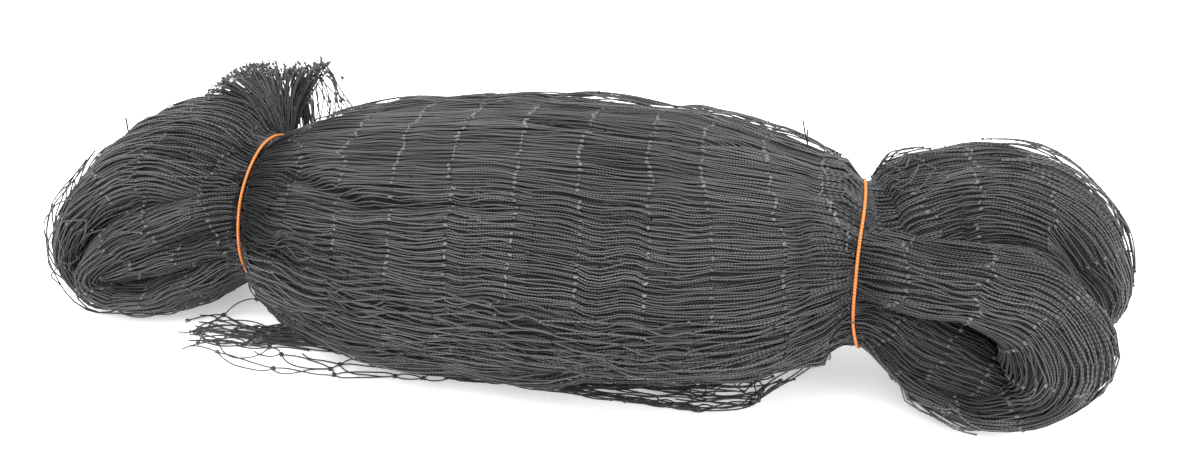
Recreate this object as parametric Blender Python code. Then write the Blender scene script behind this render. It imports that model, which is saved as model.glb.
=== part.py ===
# Bird netting: a knotted net drawn out into a hank, folded back at both ends and bound with two cord ties.
# Sizes are in millimetres and are scaled to metres where a mesh is made.
# X runs along the hank, Z is up, and the hank rests on z = 0.

import math

import bmesh
import bpy
import numpy as np

millimetre = 0.001

sectionPower = 2.15        # 2 is an ellipse, more is squarer
fitGap = 0.3               # left between neighbouring pieces

# the drawn-out middle of the hank, from one end to the other
# x, y, z of the section's middle, half width, half height
bodyRows = [
    (-157, 3, 49.0, 28.0, 26.0),
    (-151, 3, 49.0, 33.0, 31.0),
    (-142, 4, 48.3, 36.4, 34.2),
    (-133, 3, 48.5, 42.0, 38.0),
    (-116, 1, 49.0, 55.0, 45.0),
    (-91, 0, 49.5, 66.0, 51.0),
    (-56, 0, 51.0, 74.0, 56.0),
    (-16, 0, 53.0, 77.0, 59.0),
    (24, 0, 53.5, 78.0, 59.0),
    (64, 1, 53.5, 75.0, 57.5),
    (91, 2, 55.5, 66.0, 51.5),
    (112, 3, 57.5, 53.0, 44.5),
    (123, 3, 59.0, 41.0, 39.0),
    (130, 3, 59.3, 33.0, 36.4),
    (138, 3, 59.0, 31.0, 32.0),
    (145, 3, 58.0, 26.0, 25.0),
]

# a folded end leaves the waist high, turns over and comes back low, and a core of inner turns fills it
# x, y, z of the section's middle, half width across the fold, half thickness
foldRows = {
    "right_front": [
        (121, 1, 66.0, 22.0, 13.0),
        (130, -1, 67.0, 25.0, 15.0),
        (140, -3, 69.0, 29.0, 18.0),
        (153, -5, 71.0, 33.0, 20.0),
        (176, -6, 70.0, 34.0, 21.5),
        (198, -7, 60.0, 34.0, 22.0),
        (211, -8, 41.0, 33.0, 21.0),
        (205, -9, 22.0, 31.0, 17.0),
        (186, -9, 10.5, 30.0, 11.5),
        (164, -6, 11.0, 28.0, 10.5),
        (144, -2, 25.0, 25.0, 11.0),
        (130, 1, 38.0, 21.0, 11.0),
        (121, 2, 42.0, 20.0, 10.0),
    ],
    "right_back": [
        (121, 8, 66.0, 21.0, 13.0),
        (130, 9, 67.0, 23.0, 14.0),
        (140, 15, 70.0, 29.0, 19.0),
        (157, 22, 74.0, 35.0, 24.0),
        (184, 28, 75.0, 36.0, 26.0),
        (210, 30, 67.0, 36.0, 24.0),
        (224, 31, 48.0, 35.0, 22.0),
        (216, 30, 27.0, 34.0, 19.0),
        (190, 26, 16.5, 33.0, 17.5),
        (159, 18, 23.0, 31.0, 15.0),
        (140, 12, 34.0, 27.0, 12.0),
        (130, 9, 40.0, 21.0, 10.0),
        (121, 8, 42.0, 19.0, 10.0),
    ],
    "right_core": [
        (127, 5, 54.0, 18.0, 18.0),
        (143, 6, 47.0, 16.0, 20.0),
        (168, 9, 42.0, 15.0, 22.0),
        (191, 11, 42.0, 14.0, 20.0),
        (203, 12, 43.0, 10.0, 12.0),
    ],
    "left_outer": [
        (-131, 6, 60.0, 28.0, 12.0),
        (-142, 6, 62.0, 28.0, 14.0),
        (-154, 8, 66.5, 34.0, 18.0),
        (-169, 9, 71.0, 40.0, 21.0),
        (-191, 9, 70.0, 43.0, 20.0),
        (-211, 7, 60.0, 44.0, 18.0),
        (-226, 4, 44.0, 44.0, 15.0),
        (-232, 2, 28.0, 43.0, 13.0),
        (-226, 1, 14.5, 41.0, 12.0),
        (-207, 2, 10.5, 38.0, 11.5),
        (-179, 6, 16.0, 34.0, 12.0),
        (-156, 7, 27.0, 30.0, 13.0),
        (-142, 6, 34.0, 26.0, 11.0),
        (-133, 6, 38.0, 26.0, 10.0),
    ],
    "left_inner": [
        (-131, 0, 58.0, 26.0, 11.0),
        (-151, -5, 56.0, 29.0, 14.0),
        (-176, -13, 49.5, 28.0, 15.0),
        (-197, -18, 41.0, 26.0, 13.0),
        (-212, -22, 30.5, 24.0, 9.5),
        (-218, -23, 21.0, 24.0, 7.5),
        (-211, -22, 12.5, 24.0, 7.5),
        (-196, -20, 10.5, 24.0, 8.5),
        (-176, -14, 17.0, 25.0, 11.0),
        (-151, -5, 29.0, 26.0, 11.5),
        (-133, 0, 36.0, 25.0, 10.0),
    ],
    "left_core": [
        (-139, 8, 50.0, 19.0, 16.0),
        (-157, 12, 46.0, 18.0, 18.0),
        (-183, 14, 42.0, 17.0, 24.0),
        (-207, 14, 35.0, 16.0, 20.0),
        (-220, 13, 31.0, 11.0, 12.0),
    ],
}

# the direction that a fold's width lies along
foldWidthAlong = {
    "right_front": (0.10, -1.0, 0.15),
    "right_back": (0.0, -1.0, 0.0),
    "right_core": (0.0, -1.0, 0.0),
    "left_outer": (0.0, -1.0, 0.0),
    "left_inner": (0.0, -1.0, 0.25),
    "left_core": (0.0, -1.0, 0.0),
}

# a tie is a cord drawn tight round a waist: middle, half width, half height, lean about Y and turn about Z
tieCord = 1.4
tieKnot = 3.0
knotTurn = -25             # degrees up from the far side
tieSegments = 48
tieSides = 6
slotHeight = 9.0           # how far out the waist is cleared over a tie
ties = {
    "tie_left": {"at": (-142, 4, 48.3), "halfWidth": 37.3, "halfHeight": 35.1, "lean": 0.02, "turn": 0.06},
    "tie_right": {"at": (130, 3, 59.3), "halfWidth": 33.9, "halfHeight": 37.3, "lean": -0.07, "turn": 0.01},
}

# the net's gathered end fans up behind the left waist
# angle from straight up in degrees, length of the fan there
fanFoot = (-142, 29, 77.6)
fanRows = [
    (-62, 50),
    (-42, 41),
    (-12, 34),
    (12, 33),
    (34, 35),
    (58, 35),
]
fanFootLength = 4.0
fanThickness = 2.4
fanBackLean = 9.0
fanPleats = 6
fanPleatDepth = 2.6

# the net's loose edge lies along the front of the hank
# x, y of its front edge, y of its back edge
looseRows = [
    (-173, -46, -38),
    (-163, -51, -31),
    (-147, -56, -25),
    (-127, -57, -30),
    (-107, -55, -35),
    (-85, -52, -40),
    (-57, -49, -43),
    (-22, -47, -43),
    (13, -46, -43),
    (41, -45, -42),
    (65, -43, -37),
    (88, -38, -26),
    (104, -29, -19),
    (112, -20, -13),
]
looseThickness = 1.6
looseRipple = 0.5

netColour = (0.030, 0.032, 0.034, 1.0)
tieColour = (0.86, 0.25, 0.06, 1.0)


def clearScene():
    for item in list(bpy.data.objects):
        bpy.data.objects.remove(item, do_unlink=True)


def makeMaterial(name, colour, roughness):
    material = bpy.data.materials.new(name)
    material.use_nodes = True
    surface = material.node_tree.nodes["Principled BSDF"]
    surface.inputs["Base Color"].default_value = colour
    surface.inputs["Roughness"].default_value = roughness
    surface.inputs["Metallic"].default_value = 0.0
    return material


def smoothRows(rows, count, keyColumns):
    """Reads count rows from a smooth curve through the given ones, spaced evenly along keyColumns."""
    table = np.array(rows, dtype=float)
    steps = np.diff(table, axis=0)
    length = np.linalg.norm(steps[:, :keyColumns], axis=1)
    station = np.concatenate([[0.0], np.cumsum(length)])
    pace = steps / length[:, None]
    slope = np.empty_like(table)
    slope[0] = pace[0]
    slope[-1] = pace[-1]
    weight = (length[:-1] + length[1:])[:, None]
    slope[1:-1] = (pace[:-1] * length[1:, None] + pace[1:] * length[:-1, None]) / weight
    wanted = np.linspace(0.0, station[-1], count)
    span = np.clip(np.searchsorted(station, wanted, side="right") - 1, 0, len(table) - 2)
    width = length[span][:, None]
    u = (wanted - station[span])[:, None] / width
    startPart = (2 * u**3 - 3 * u**2 + 1) * table[span] + (u**3 - 2 * u**2 + u) * width * slope[span]
    endPart = (3 * u**2 - 2 * u**3) * table[span + 1] + (u**3 - u**2) * width * slope[span + 1]
    return startPart + endPart


def sweepSections(rows, widthAlong, sections, sides):
    """Returns the rings of points of a bundle whose rounded section follows the rows."""
    table = smoothRows(rows, sections, 3)
    middle = table[:, :3]
    along = np.gradient(middle, axis=0)
    along /= np.linalg.norm(along, axis=1)[:, None]
    wide = np.array(widthAlong) / np.linalg.norm(widthAlong)
    wide = wide - (along @ wide)[:, None] * along
    wide /= np.linalg.norm(wide, axis=1)[:, None]
    high = np.cross(along, wide)
    rings = []
    for row in range(sections):
        ring = []
        for side in range(sides):
            turn = 2 * math.pi * side / sides
            across = math.copysign(abs(math.cos(turn)) ** (2 / sectionPower), math.cos(turn))
            up = math.copysign(abs(math.sin(turn)) ** (2 / sectionPower), math.sin(turn))
            ring.append(middle[row] + wide[row] * table[row, 3] * across + high[row] * table[row, 4] * up)
        rings.append(ring)
    return rings


def addObject(name, mesh, material=None, guide=False):
    item = bpy.data.objects.new(name, mesh)
    bpy.context.scene.collection.objects.link(item)
    if material:
        mesh.materials.append(material)
    if guide:
        item.hide_render = True
        item.display_type = "WIRE"
    return item


def meshFromRings(name, rings, closedRun=False):
    """Joins rings of points into a tube, capped at both ends unless its run is closed."""
    build = bmesh.new()
    made = []
    for ring in rings:
        made.append([build.verts.new(np.array(point) * millimetre) for point in ring])
    runs = len(made) if closedRun else len(made) - 1
    sides = len(made[0])
    for row in range(runs):
        here = made[row]
        beyond = made[(row + 1) % len(made)]
        for side in range(sides):
            following = (side + 1) % sides
            build.faces.new((here[side], here[following], beyond[following], beyond[side]))
    if not closedRun:
        build.faces.new(list(reversed(made[0])))
        build.faces.new(made[-1])
    bmesh.ops.recalc_face_normals(build, faces=build.faces)
    mesh = bpy.data.meshes.new(name)
    build.to_mesh(mesh)
    build.free()
    mesh.shade_smooth()
    return mesh


def addBoolean(target, tool, operation, tightBends=False):
    cut = target.modifiers.new(tool.name, "BOOLEAN")
    cut.operation = operation
    cut.solver = "EXACT"
    cut.use_self = tightBends
    cut.object = tool


def ellipseRing(halfWidth, halfHeight, profile, segments):
    """Carries a profile of (outward, along X) offsets round an ellipse in the YZ plane."""
    rings = []
    for segment in range(segments):
        turn = 2 * math.pi * segment / segments
        outward = np.array([0.0, math.cos(turn) * halfHeight, math.sin(turn) * halfWidth])
        outward /= np.linalg.norm(outward)
        point = np.array([0.0, math.cos(turn) * halfWidth, math.sin(turn) * halfHeight])
        rings.append([point + outward * out + np.array([along, 0.0, 0.0]) for out, along in profile])
    return rings


def placeTie(item, tie):
    item.location = [value * millimetre for value in tie["at"]]
    item.rotation_euler = (0.0, tie["lean"], tie["turn"])


def makeKnot(name, tie, cord, radius):
    """A ball for the knot, out of sight, low on the far side of the tie."""
    build = bmesh.new()
    bmesh.ops.create_icosphere(build, subdivisions=2, radius=radius * millimetre)
    mesh = bpy.data.meshes.new(name)
    build.to_mesh(mesh)
    build.free()
    knot = addObject(name, mesh, guide=True)
    knot.parent = cord
    turn = math.radians(knotTurn)
    stand = tieKnot / 2 - tieCord / 4
    knot.location = (
        0.0,
        math.cos(turn) * (tie["halfWidth"] + stand) * millimetre,
        math.sin(turn) * (tie["halfHeight"] + stand) * millimetre,
    )
    return knot


def pressTie(hank, name, tie):
    """Sinks the slot and the knot's pocket that a tie presses into the waist."""
    half = tieCord / 2 + fitGap
    profile = [(-half, -half), (-half, half), (slotHeight, half), (slotHeight, -half)]
    rings = ellipseRing(tie["halfWidth"], tie["halfHeight"], profile, tieSegments)
    slot = addObject(name + "_slot", meshFromRings(name + "_slot", rings, closedRun=True), guide=True)
    placeTie(slot, tie)
    addBoolean(hank, slot, "DIFFERENCE")
    pocket = makeKnot(name + "_pocket", tie, slot, tieKnot / 2 + 2 * fitGap)
    addBoolean(hank, pocket, "DIFFERENCE")


def makeTie(name, tie, material):
    profile = []
    for side in range(tieSides):
        turn = 2 * math.pi * side / tieSides
        profile.append((math.cos(turn) * tieCord / 2, math.sin(turn) * tieCord / 2))
    rings = ellipseRing(tie["halfWidth"], tie["halfHeight"], profile, tieSegments)
    cord = addObject(name, meshFromRings(name, rings, closedRun=True), material)
    placeTie(cord, tie)
    addBoolean(cord, makeKnot(name + "_knot", tie, cord, tieKnot / 2), "UNION")
    return cord


def makeHank(material):
    """The wound form: the drawn-out middle with its four folded ends."""
    bodyRings = sweepSections(bodyRows, (0.0, -1.0, 0.0), 30, 26)
    hank = addObject("hank", meshFromRings("hank", bodyRings), material)
    for name, rows in foldRows.items():
        sections = 2 * len(rows)
        rings = sweepSections(rows, foldWidthAlong[name], sections, 14)
        fold = addObject("fold_" + name, meshFromRings("fold_" + name, rings), guide=True)
        addBoolean(hank, fold, "UNION", tightBends=True)

    # the underside is pressed flat on the surface
    floorBuild = bmesh.new()
    bmesh.ops.create_cube(floorBuild, size=1.0)
    floorMesh = bpy.data.meshes.new("floor_cut")
    floorBuild.to_mesh(floorMesh)
    floorBuild.free()
    floorCut = addObject("floor_cut", floorMesh, guide=True)
    floorCut.location = (0.0, 0.0, -0.5)
    addBoolean(hank, floorCut, "DIFFERENCE")
    for name, tie in ties.items():
        pressTie(hank, name, tie)
    return hank


def sheetMesh(name, upper, lower):
    """Closes two grids of points, one thickness apart, into a sheet."""
    build = bmesh.new()
    rows = len(upper)
    columns = len(upper[0])
    top = [[build.verts.new(np.array(point) * millimetre) for point in row] for row in upper]
    bottom = [[build.verts.new(np.array(point) * millimetre) for point in row] for row in lower]
    for row in range(rows - 1):
        for column in range(columns - 1):
            build.faces.new((top[row][column], top[row + 1][column], top[row + 1][column + 1], top[row][column + 1]))
            build.faces.new((
                bottom[row][column],
                bottom[row][column + 1],
                bottom[row + 1][column + 1],
                bottom[row + 1][column],
            ))
    rim = [(row, 0) for row in range(rows)]
    rim += [(rows - 1, column) for column in range(1, columns)]
    rim += [(row, columns - 1) for row in range(rows - 2, -1, -1)]
    rim += [(0, column) for column in range(columns - 2, 0, -1)]
    for index, (row, column) in enumerate(rim):
        nextRow, nextColumn = rim[(index + 1) % len(rim)]
        build.faces.new((
            top[row][column],
            top[nextRow][nextColumn],
            bottom[nextRow][nextColumn],
            bottom[row][column],
        ))
    bmesh.ops.recalc_face_normals(build, faces=build.faces)
    mesh = bpy.data.meshes.new(name)
    build.to_mesh(mesh)
    build.free()
    return mesh


def makeGatheredEnd(material):
    """The fan of pleats that stands behind the left waist."""
    columns = fanPleats * 6 + 1
    rows = 6
    table = smoothRows(fanRows, columns, 1)
    front = []
    back = []
    for row in range(rows):
        reach = row / (rows - 1)
        frontRow = []
        backRow = []
        for column in range(columns):
            angle = math.radians(table[column, 0])
            away = fanFootLength + (table[column, 1] - fanFootLength) * reach
            pleat = math.sin(2 * math.pi * fanPleats * column / (columns - 1))
            middle = np.array([
                fanFoot[0] + away * math.sin(angle),
                fanFoot[1] + fanBackLean * reach + fanPleatDepth * reach * pleat,
                fanFoot[2] + away * math.cos(angle),
            ])
            frontRow.append(middle - np.array([0.0, fanThickness / 2, 0.0]))
            backRow.append(middle + np.array([0.0, fanThickness / 2, 0.0]))
        front.append(frontRow)
        back.append(backRow)
    return addObject("gathered_end", sheetMesh("gathered_end", front, back), material)


def makeLooseEdge(material):
    """The strip of net that lies on the surface along the front."""
    columns = 44
    acrossCount = 5
    table = smoothRows(looseRows, columns, 1)
    top = []
    bottom = []
    for step in range(acrossCount):
        share = step / (acrossCount - 1)
        topRow = []
        bottomRow = []
        for column in range(columns):
            x, frontY, backY = table[column]
            y = frontY + (backY - frontY) * share
            ripple = looseRipple * math.sin(x * 0.21 + share * 4.0)
            topRow.append((x, y, looseThickness + ripple * math.sin(math.pi * share)))
            bottomRow.append((x, y, 0.0))
        top.append(topRow)
        bottom.append(bottomRow)
    return addObject("loose_edge", sheetMesh("loose_edge", top, bottom), material)


clearScene()
makeHank(makeMaterial("net_hank", netColour, 0.6))
makeGatheredEnd(makeMaterial("net_gathered_end", netColour, 0.6))
makeLooseEdge(makeMaterial("net_loose_edge", netColour, 0.6))
for tieName, tieSizes in ties.items():
    makeTie(tieName, tieSizes, makeMaterial(tieName, tieColour, 0.45))
bpy.context.view_layer.update()
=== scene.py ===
# A hank of knotted bird netting with two cord ties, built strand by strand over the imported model.
# Lengths in the tables are in millimetres. Meshes are in metres, in the frame of the model.

import math
import bpy
import numpy as np
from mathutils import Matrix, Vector
from mathutils.bvhtree import BVHTree


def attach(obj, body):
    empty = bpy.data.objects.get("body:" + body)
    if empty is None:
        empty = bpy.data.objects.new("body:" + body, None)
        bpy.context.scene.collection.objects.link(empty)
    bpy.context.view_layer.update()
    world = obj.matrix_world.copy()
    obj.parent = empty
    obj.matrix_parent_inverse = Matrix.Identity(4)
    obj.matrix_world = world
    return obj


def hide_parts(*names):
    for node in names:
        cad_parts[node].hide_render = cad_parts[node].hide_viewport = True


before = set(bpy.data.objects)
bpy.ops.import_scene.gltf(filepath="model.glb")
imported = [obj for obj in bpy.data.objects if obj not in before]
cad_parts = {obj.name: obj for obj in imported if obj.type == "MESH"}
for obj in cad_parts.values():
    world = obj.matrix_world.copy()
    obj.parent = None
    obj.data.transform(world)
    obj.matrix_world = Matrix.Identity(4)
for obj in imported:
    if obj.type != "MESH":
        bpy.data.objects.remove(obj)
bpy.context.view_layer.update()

millimetre = 0.001
twineRadius = 0.33

camera = {
    "target": (17.5, 4.0, 55.0),
    "azimuth": 14.0,       # degrees round from the front, towards the end with two folds
    "elevation": 29.0,
    "distance": 518.0,
    "lens": 35.0,
}


def placeCamera():
    azimuth = math.radians(camera["azimuth"])
    elevation = math.radians(camera["elevation"])
    back = Vector((
        math.sin(azimuth) * math.cos(elevation),
        -math.cos(azimuth) * math.cos(elevation),
        math.sin(elevation),
    ))
    eye = bpy.data.objects.new("camera", bpy.data.cameras.new("camera"))
    bpy.context.scene.collection.objects.link(eye)
    eye.data.lens = camera["lens"]
    eye.data.sensor_width = 36.0
    eye.data.clip_start = 0.01
    eye.data.clip_end = 20.0
    eye.location = (Vector(camera["target"]) + back * camera["distance"]) * millimetre
    eye.rotation_euler = back.to_track_quat("Z", "Y").to_euler()
    bpy.context.scene.camera = eye


placeCamera()
print("camera placed")

# the drawn-out middle of the hank, from one end to the other
# x, y, z of the section's middle, half width, half height
bodyRows = [
    (-157, 3, 49, 28, 26),
    (-151, 3, 49, 33, 31),
    (-142, 4, 48.3, 36.4, 34.2),
    (-133, 3, 48.5, 42, 38),
    (-116, 1, 49, 55, 45),
    (-91, 0, 49.5, 66, 51),
    (-56, 0, 51, 74, 56),
    (-16, 0, 53, 77, 59),
    (24, 0, 53.5, 78, 59),
    (64, 1, 53.5, 75, 57.5),
    (91, 2, 55.5, 66, 51.5),
    (112, 3, 57.5, 53, 44.5),
    (123, 3, 58.7, 43, 40.5),
    (130, 3, 58, 33, 34.8),
    (138, 3, 58, 25, 25),
    (145, 3, 57, 18, 18),
]

# a folded end leaves the waist high, turns over and comes back low, round smaller turns of its own
# x, y, z of the section's middle, half width across the fold, half thickness
foldRows = {
    "right_front": [
        (121, 1, 65, 22, 12),
        (130, -1, 65.5, 25, 13.5),
        (140, -3, 65.5, 29, 15.5),
        (153, -5, 65, 32, 15),
        (176, -6, 64, 33, 15.5),
        (200, -7, 56, 33, 20.5),
        (209, -8, 39.5, 32.5, 22.5),
        (205, -8, 23, 31, 13.5),
        (191.5, -8, 11.5, 27, 8.2),
        (178, -7, 8, 24, 6),
        (165, -6, 11.5, 24, 5.5),
        (153, -4, 18.5, 25, 6.5),
        (141, -2, 27.5, 25, 8),
        (130, 1, 37, 22, 9),
        (121, 2, 42, 20, 9),
    ],
    "right_back": [
        (121, 8, 66, 24, 20),
        (130, 9, 68, 26, 22),
        (140, 13, 69, 28, 24.4),
        (149, 17, 71.5, 33, 25.7),
        (159, 22, 74, 35, 25.5),
        (192, 28, 76.6, 33, 25),
        (211, 30, 65, 37, 23.5),
        (221.5, 31, 46, 33, 20.6),
        (213.5, 31, 32.3, 32, 18.4),
        (192, 26, 20, 31, 15),
        (159, 18, 23, 31, 15),
        (140, 12, 34, 27, 12),
        (130, 9, 40, 21, 10),
        (121, 8, 42, 19, 10),
    ],
    "right_heart": [
        (127, 2, 50, 26, 17),
        (143, 0, 45, 28, 19),
        (158, -2, 38, 29, 20),
        (174, -3, 31, 28, 19),
        (190, -4, 25, 25, 14),
        (203, -5, 21, 20, 8),
    ],
    "left_outer": [
        (-131, 6, 60, 28, 12),
        (-142, 6, 62, 28, 14),
        (-154, 8, 66.5, 34, 18),
        (-169, 9, 71, 40, 21),
        (-191, 9, 70, 43, 20),
        (-211, 7, 60, 44, 18),
        (-226, 4, 44, 44, 15),
        (-232, 2, 28, 43, 13),
        (-226, 1, 14.5, 41, 12),
        (-207, 2, 10.5, 38, 11.5),
        (-179, 6, 16, 34, 12),
        (-156, 7, 27, 30, 13),
        (-142, 6, 34, 26, 11),
        (-133, 6, 38, 26, 10),
    ],
    "left_inner": [
        (-131, 0, 58, 26, 11),
        (-151, -5, 56, 29, 14),
        (-176, -13, 49.5, 28, 15),
        (-197, -18, 41, 26, 13),
        (-212, -22, 30.5, 24, 9.5),
        (-218, -23, 21, 24, 7.5),
        (-211, -22, 12.5, 24, 7.5),
        (-196, -20, 10.5, 24, 8.5),
        (-176, -14, 17, 25, 11),
        (-151, -5, 29, 26, 11.5),
        (-133, 0, 36, 25, 10),
    ],
    "left_heart": [
        (-131, 0, 46, 28, 12),
        (-146, -4, 43, 30, 12),
        (-163, -9, 38, 29.5, 11.5),
        (-180, -14, 33, 28, 10.5),
        (-196, -17, 27, 26, 9),
        (-208, -20, 22, 24, 6),
        (-213, -21, 20.5, 21, 4),
    ],
    "left_filling": [
        (-139, 10, 50, 20, 16),
        (-157, 14, 46, 20, 18),
        (-183, 18, 42, 20, 24),
        (-207, 17, 35, 18, 20),
        (-220, 14, 31, 12, 12),
    ],
}

# the direction that a bundle's width lies along, where it isn't straight across, and how square it is
straightAcross = (0.0, -1.0, 0.0)
widthAlong = {
    "right_front": (0.10, -1.0, 0.15),
    "left_inner": (0.0, -1.0, 0.25),
    "left_heart": (0.0, -1.0, 0.25),
}
sectionPower = 2.15        # 2 is an ellipse, more is squarer
ownPower = {"right_front": 3.0}

# a tie is a cord drawn tight round a waist: middle, half width, half height, lean about Y and turn about Z
# the net is drawn in to it over a reach on its either side
# it strays from straight: degrees round it from the front up, then millimetres along the hank
tieCord = 1.4
ties = {
    "tie_left": {
        "at": (-142, 4, 48.3),
        "halfWidth": 37.3,
        "halfHeight": 35.1,
        "lean": 0.02,
        "turn": 0.06,
        "reachBefore": 14.0,
        "reachAfter": 8.0,
        "strays": [(-90, 1.6), (-45, 0.5), (-20, 0), (90, 0), (180, 0.6)],
    },
    "tie_right": {
        "at": (130, 3, 57.8),
        "halfWidth": 33.9,
        "halfHeight": 35.7,
        "lean": -0.07,
        "turn": 0.01,
        "reachBefore": 7.0,
        "reachAfter": 8.0,
        "strays": [
            (-90, 2.8), (-50, 1.6), (-30, 0.3), (-10, -0.4), (10, -0.3), (35, 0.4),
            (60, 1.5), (85, 2.2), (110, 1.0), (130, 0.2), (200, 0.6),
        ],
    },
}


def unit(vectors):
    return vectors / np.maximum(np.linalg.norm(vectors, axis=-1, keepdims=True), 1e-9)


def smoothStep(value, low, high):
    t = np.clip((value - low) / (high - low), 0.0, 1.0)
    return t * t * (3 - 2 * t)


# 1 at a place, falling off to nothing on its either side
def bulge(value, at, reach):
    return np.exp(-((value - at) / reach) ** 2)


# distance travelled along lines of points, from 0 at their first
def distanceAlong(points):
    steps = np.linalg.norm(np.diff(points, axis=-2), axis=-1)
    return np.concatenate([np.zeros(steps.shape[:-1] + (1,)), np.cumsum(steps, axis=-1)], axis=-1)


# the rows of a table joined by smooth curves, read at evenly spaced places
def smoothRows(rows, count):
    table = np.array(rows, dtype=float)
    steps = np.diff(table, axis=0)
    length = np.linalg.norm(steps[:, :3], axis=1)
    station = distanceAlong(table[:, :3])
    pace = steps / length[:, None]
    weight = (length[:-1] + length[1:])[:, None]
    slope = np.concatenate([
        pace[:1],
        (pace[:-1] * length[1:, None] + pace[1:] * length[:-1, None]) / weight,
        pace[-1:],
    ])
    wanted = np.linspace(0.0, station[-1], count)
    span = np.clip(np.searchsorted(station, wanted, side="right") - 1, 0, len(table) - 2)
    width = length[span][:, None]
    u = (wanted - station[span])[:, None] / width
    startPart = (2 * u**3 - 3 * u**2 + 1) * table[span] + (u**3 - 2 * u**2 + u) * width * slope[span]
    endPart = (3 * u**2 - 2 * u**3) * table[span + 1] + (u**3 - u**2) * width * slope[span + 1]
    return startPart + endPart


# a skin is the outer form of one bundle: a grid of points, evenly spaced round each section
def makeSkin(name, rows, inset, sections, sides):
    table = smoothRows(rows, sections)
    middle = table[:, :3]
    along = unit(np.gradient(middle, axis=0))
    wide = unit(np.array(widthAlong.get(name, straightAcross), dtype=float))
    wide = unit(wide - (along @ wide)[:, None] * along)
    high = np.cross(along, wide)
    halfWidth = np.maximum(table[:, 3] - inset, 1.0)
    halfHeight = np.maximum(table[:, 4] - inset, 1.0)
    power = ownPower.get(name, sectionPower)
    turns = np.linspace(0.0, 2 * math.pi, 481)
    across = np.sign(np.cos(turns)) * np.abs(np.cos(turns)) ** (2 / power)
    up = np.sign(np.sin(turns)) * np.abs(np.sin(turns)) ** (2 / power)
    points = middle[:, None] + wide[:, None] * (halfWidth[:, None] * across)[..., None]
    points = points + high[:, None] * (halfHeight[:, None] * up)[..., None]
    outline = distanceAlong(points)
    grid = np.empty((sections, sides, 3))
    for row in range(sections):
        wanted = np.arange(sides) / sides * outline[row, -1]
        for axis in range(3):
            grid[row, :, axis] = np.interp(wanted, outline[row], points[row, :, axis])
    swell = swellBody if name == "body" else swellFold
    grid = grid + gridNormals(grid, middle) * swell(grid)[..., None]
    return {
        "grid": grid,
        "normal": gridNormals(grid, middle),
        "station": distanceAlong(middle),
        "outline": outline[:, -1],
    }


def gridNormals(grid, middle):
    around = np.roll(grid, -1, axis=1) - np.roll(grid, 1, axis=1)
    normal = unit(np.cross(around, np.gradient(grid, axis=0)))
    outward = grid - middle[:, None]
    return normal * np.sign((normal * outward).sum(axis=2).mean())


# reads a skin at a length along it and a share of a turn round it, and stands off by lift
def onSkin(skin, along, turn, lift):
    rows, sides = skin["grid"].shape[:2]
    row = np.clip(np.interp(along, skin["station"], np.arange(rows)), 0, rows - 1.001)
    side = (turn % 1.0) * sides
    row0 = row.astype(int)
    side0 = side.astype(int) % sides
    side1 = (side0 + 1) % sides
    v = (row - row0)[..., None]
    w = (side - np.floor(side))[..., None]
    read = []
    for layer in (skin["grid"], skin["normal"]):
        near = layer[row0, side0] * (1 - w) + layer[row0, side1] * w
        far = layer[row0 + 1, side0] * (1 - w) + layer[row0 + 1, side1] * w
        read.append(near * (1 - v) + far * v)
    normal = unit(read[1])
    return read[0] + normal * np.asarray(lift)[..., None], normal


# what would sink below the surface that the hank rests on is pressed flat on it
def pressOnFloor(points, clear):
    soft = 1.6
    over = (points[..., 2] - clear) / soft
    points[..., 2] = clear + soft * np.where(over > 20, over, np.log1p(np.exp(np.minimum(over, 20))))
    return points


def tieAxes(tie):
    lean, turn = tie["lean"], tie["turn"]
    aboutY = np.array([[math.cos(lean), 0, math.sin(lean)], [0, 1, 0], [-math.sin(lean), 0, math.cos(lean)]])
    aboutZ = np.array([[math.cos(turn), -math.sin(turn), 0], [math.sin(turn), math.cos(turn), 0], [0, 0, 1]])
    return aboutZ @ aboutY


# how far the cord strays from straight, by degrees round it from the front up
def tieStrays(tie, degrees):
    marks, away = zip(*tie["strays"])
    near = [np.interp(degrees + shift, marks, away, period=360) for shift in (-14, -7, 0, 7, 14)]
    return sum(near) / len(near)


# where points lie by a tie: how far out of its ring, how high round it, how far along from its cord
def roundTie(tie, local, halves):
    across, up = local[..., 1] / halves[0], local[..., 2] / halves[1]
    away = np.maximum(np.hypot(across, up), 1e-6)
    level = np.clip(up / away, -1, 1)
    return away, level, local[..., 0] - tieStrays(tie, np.degrees(np.arctan2(up, -across)))


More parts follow.
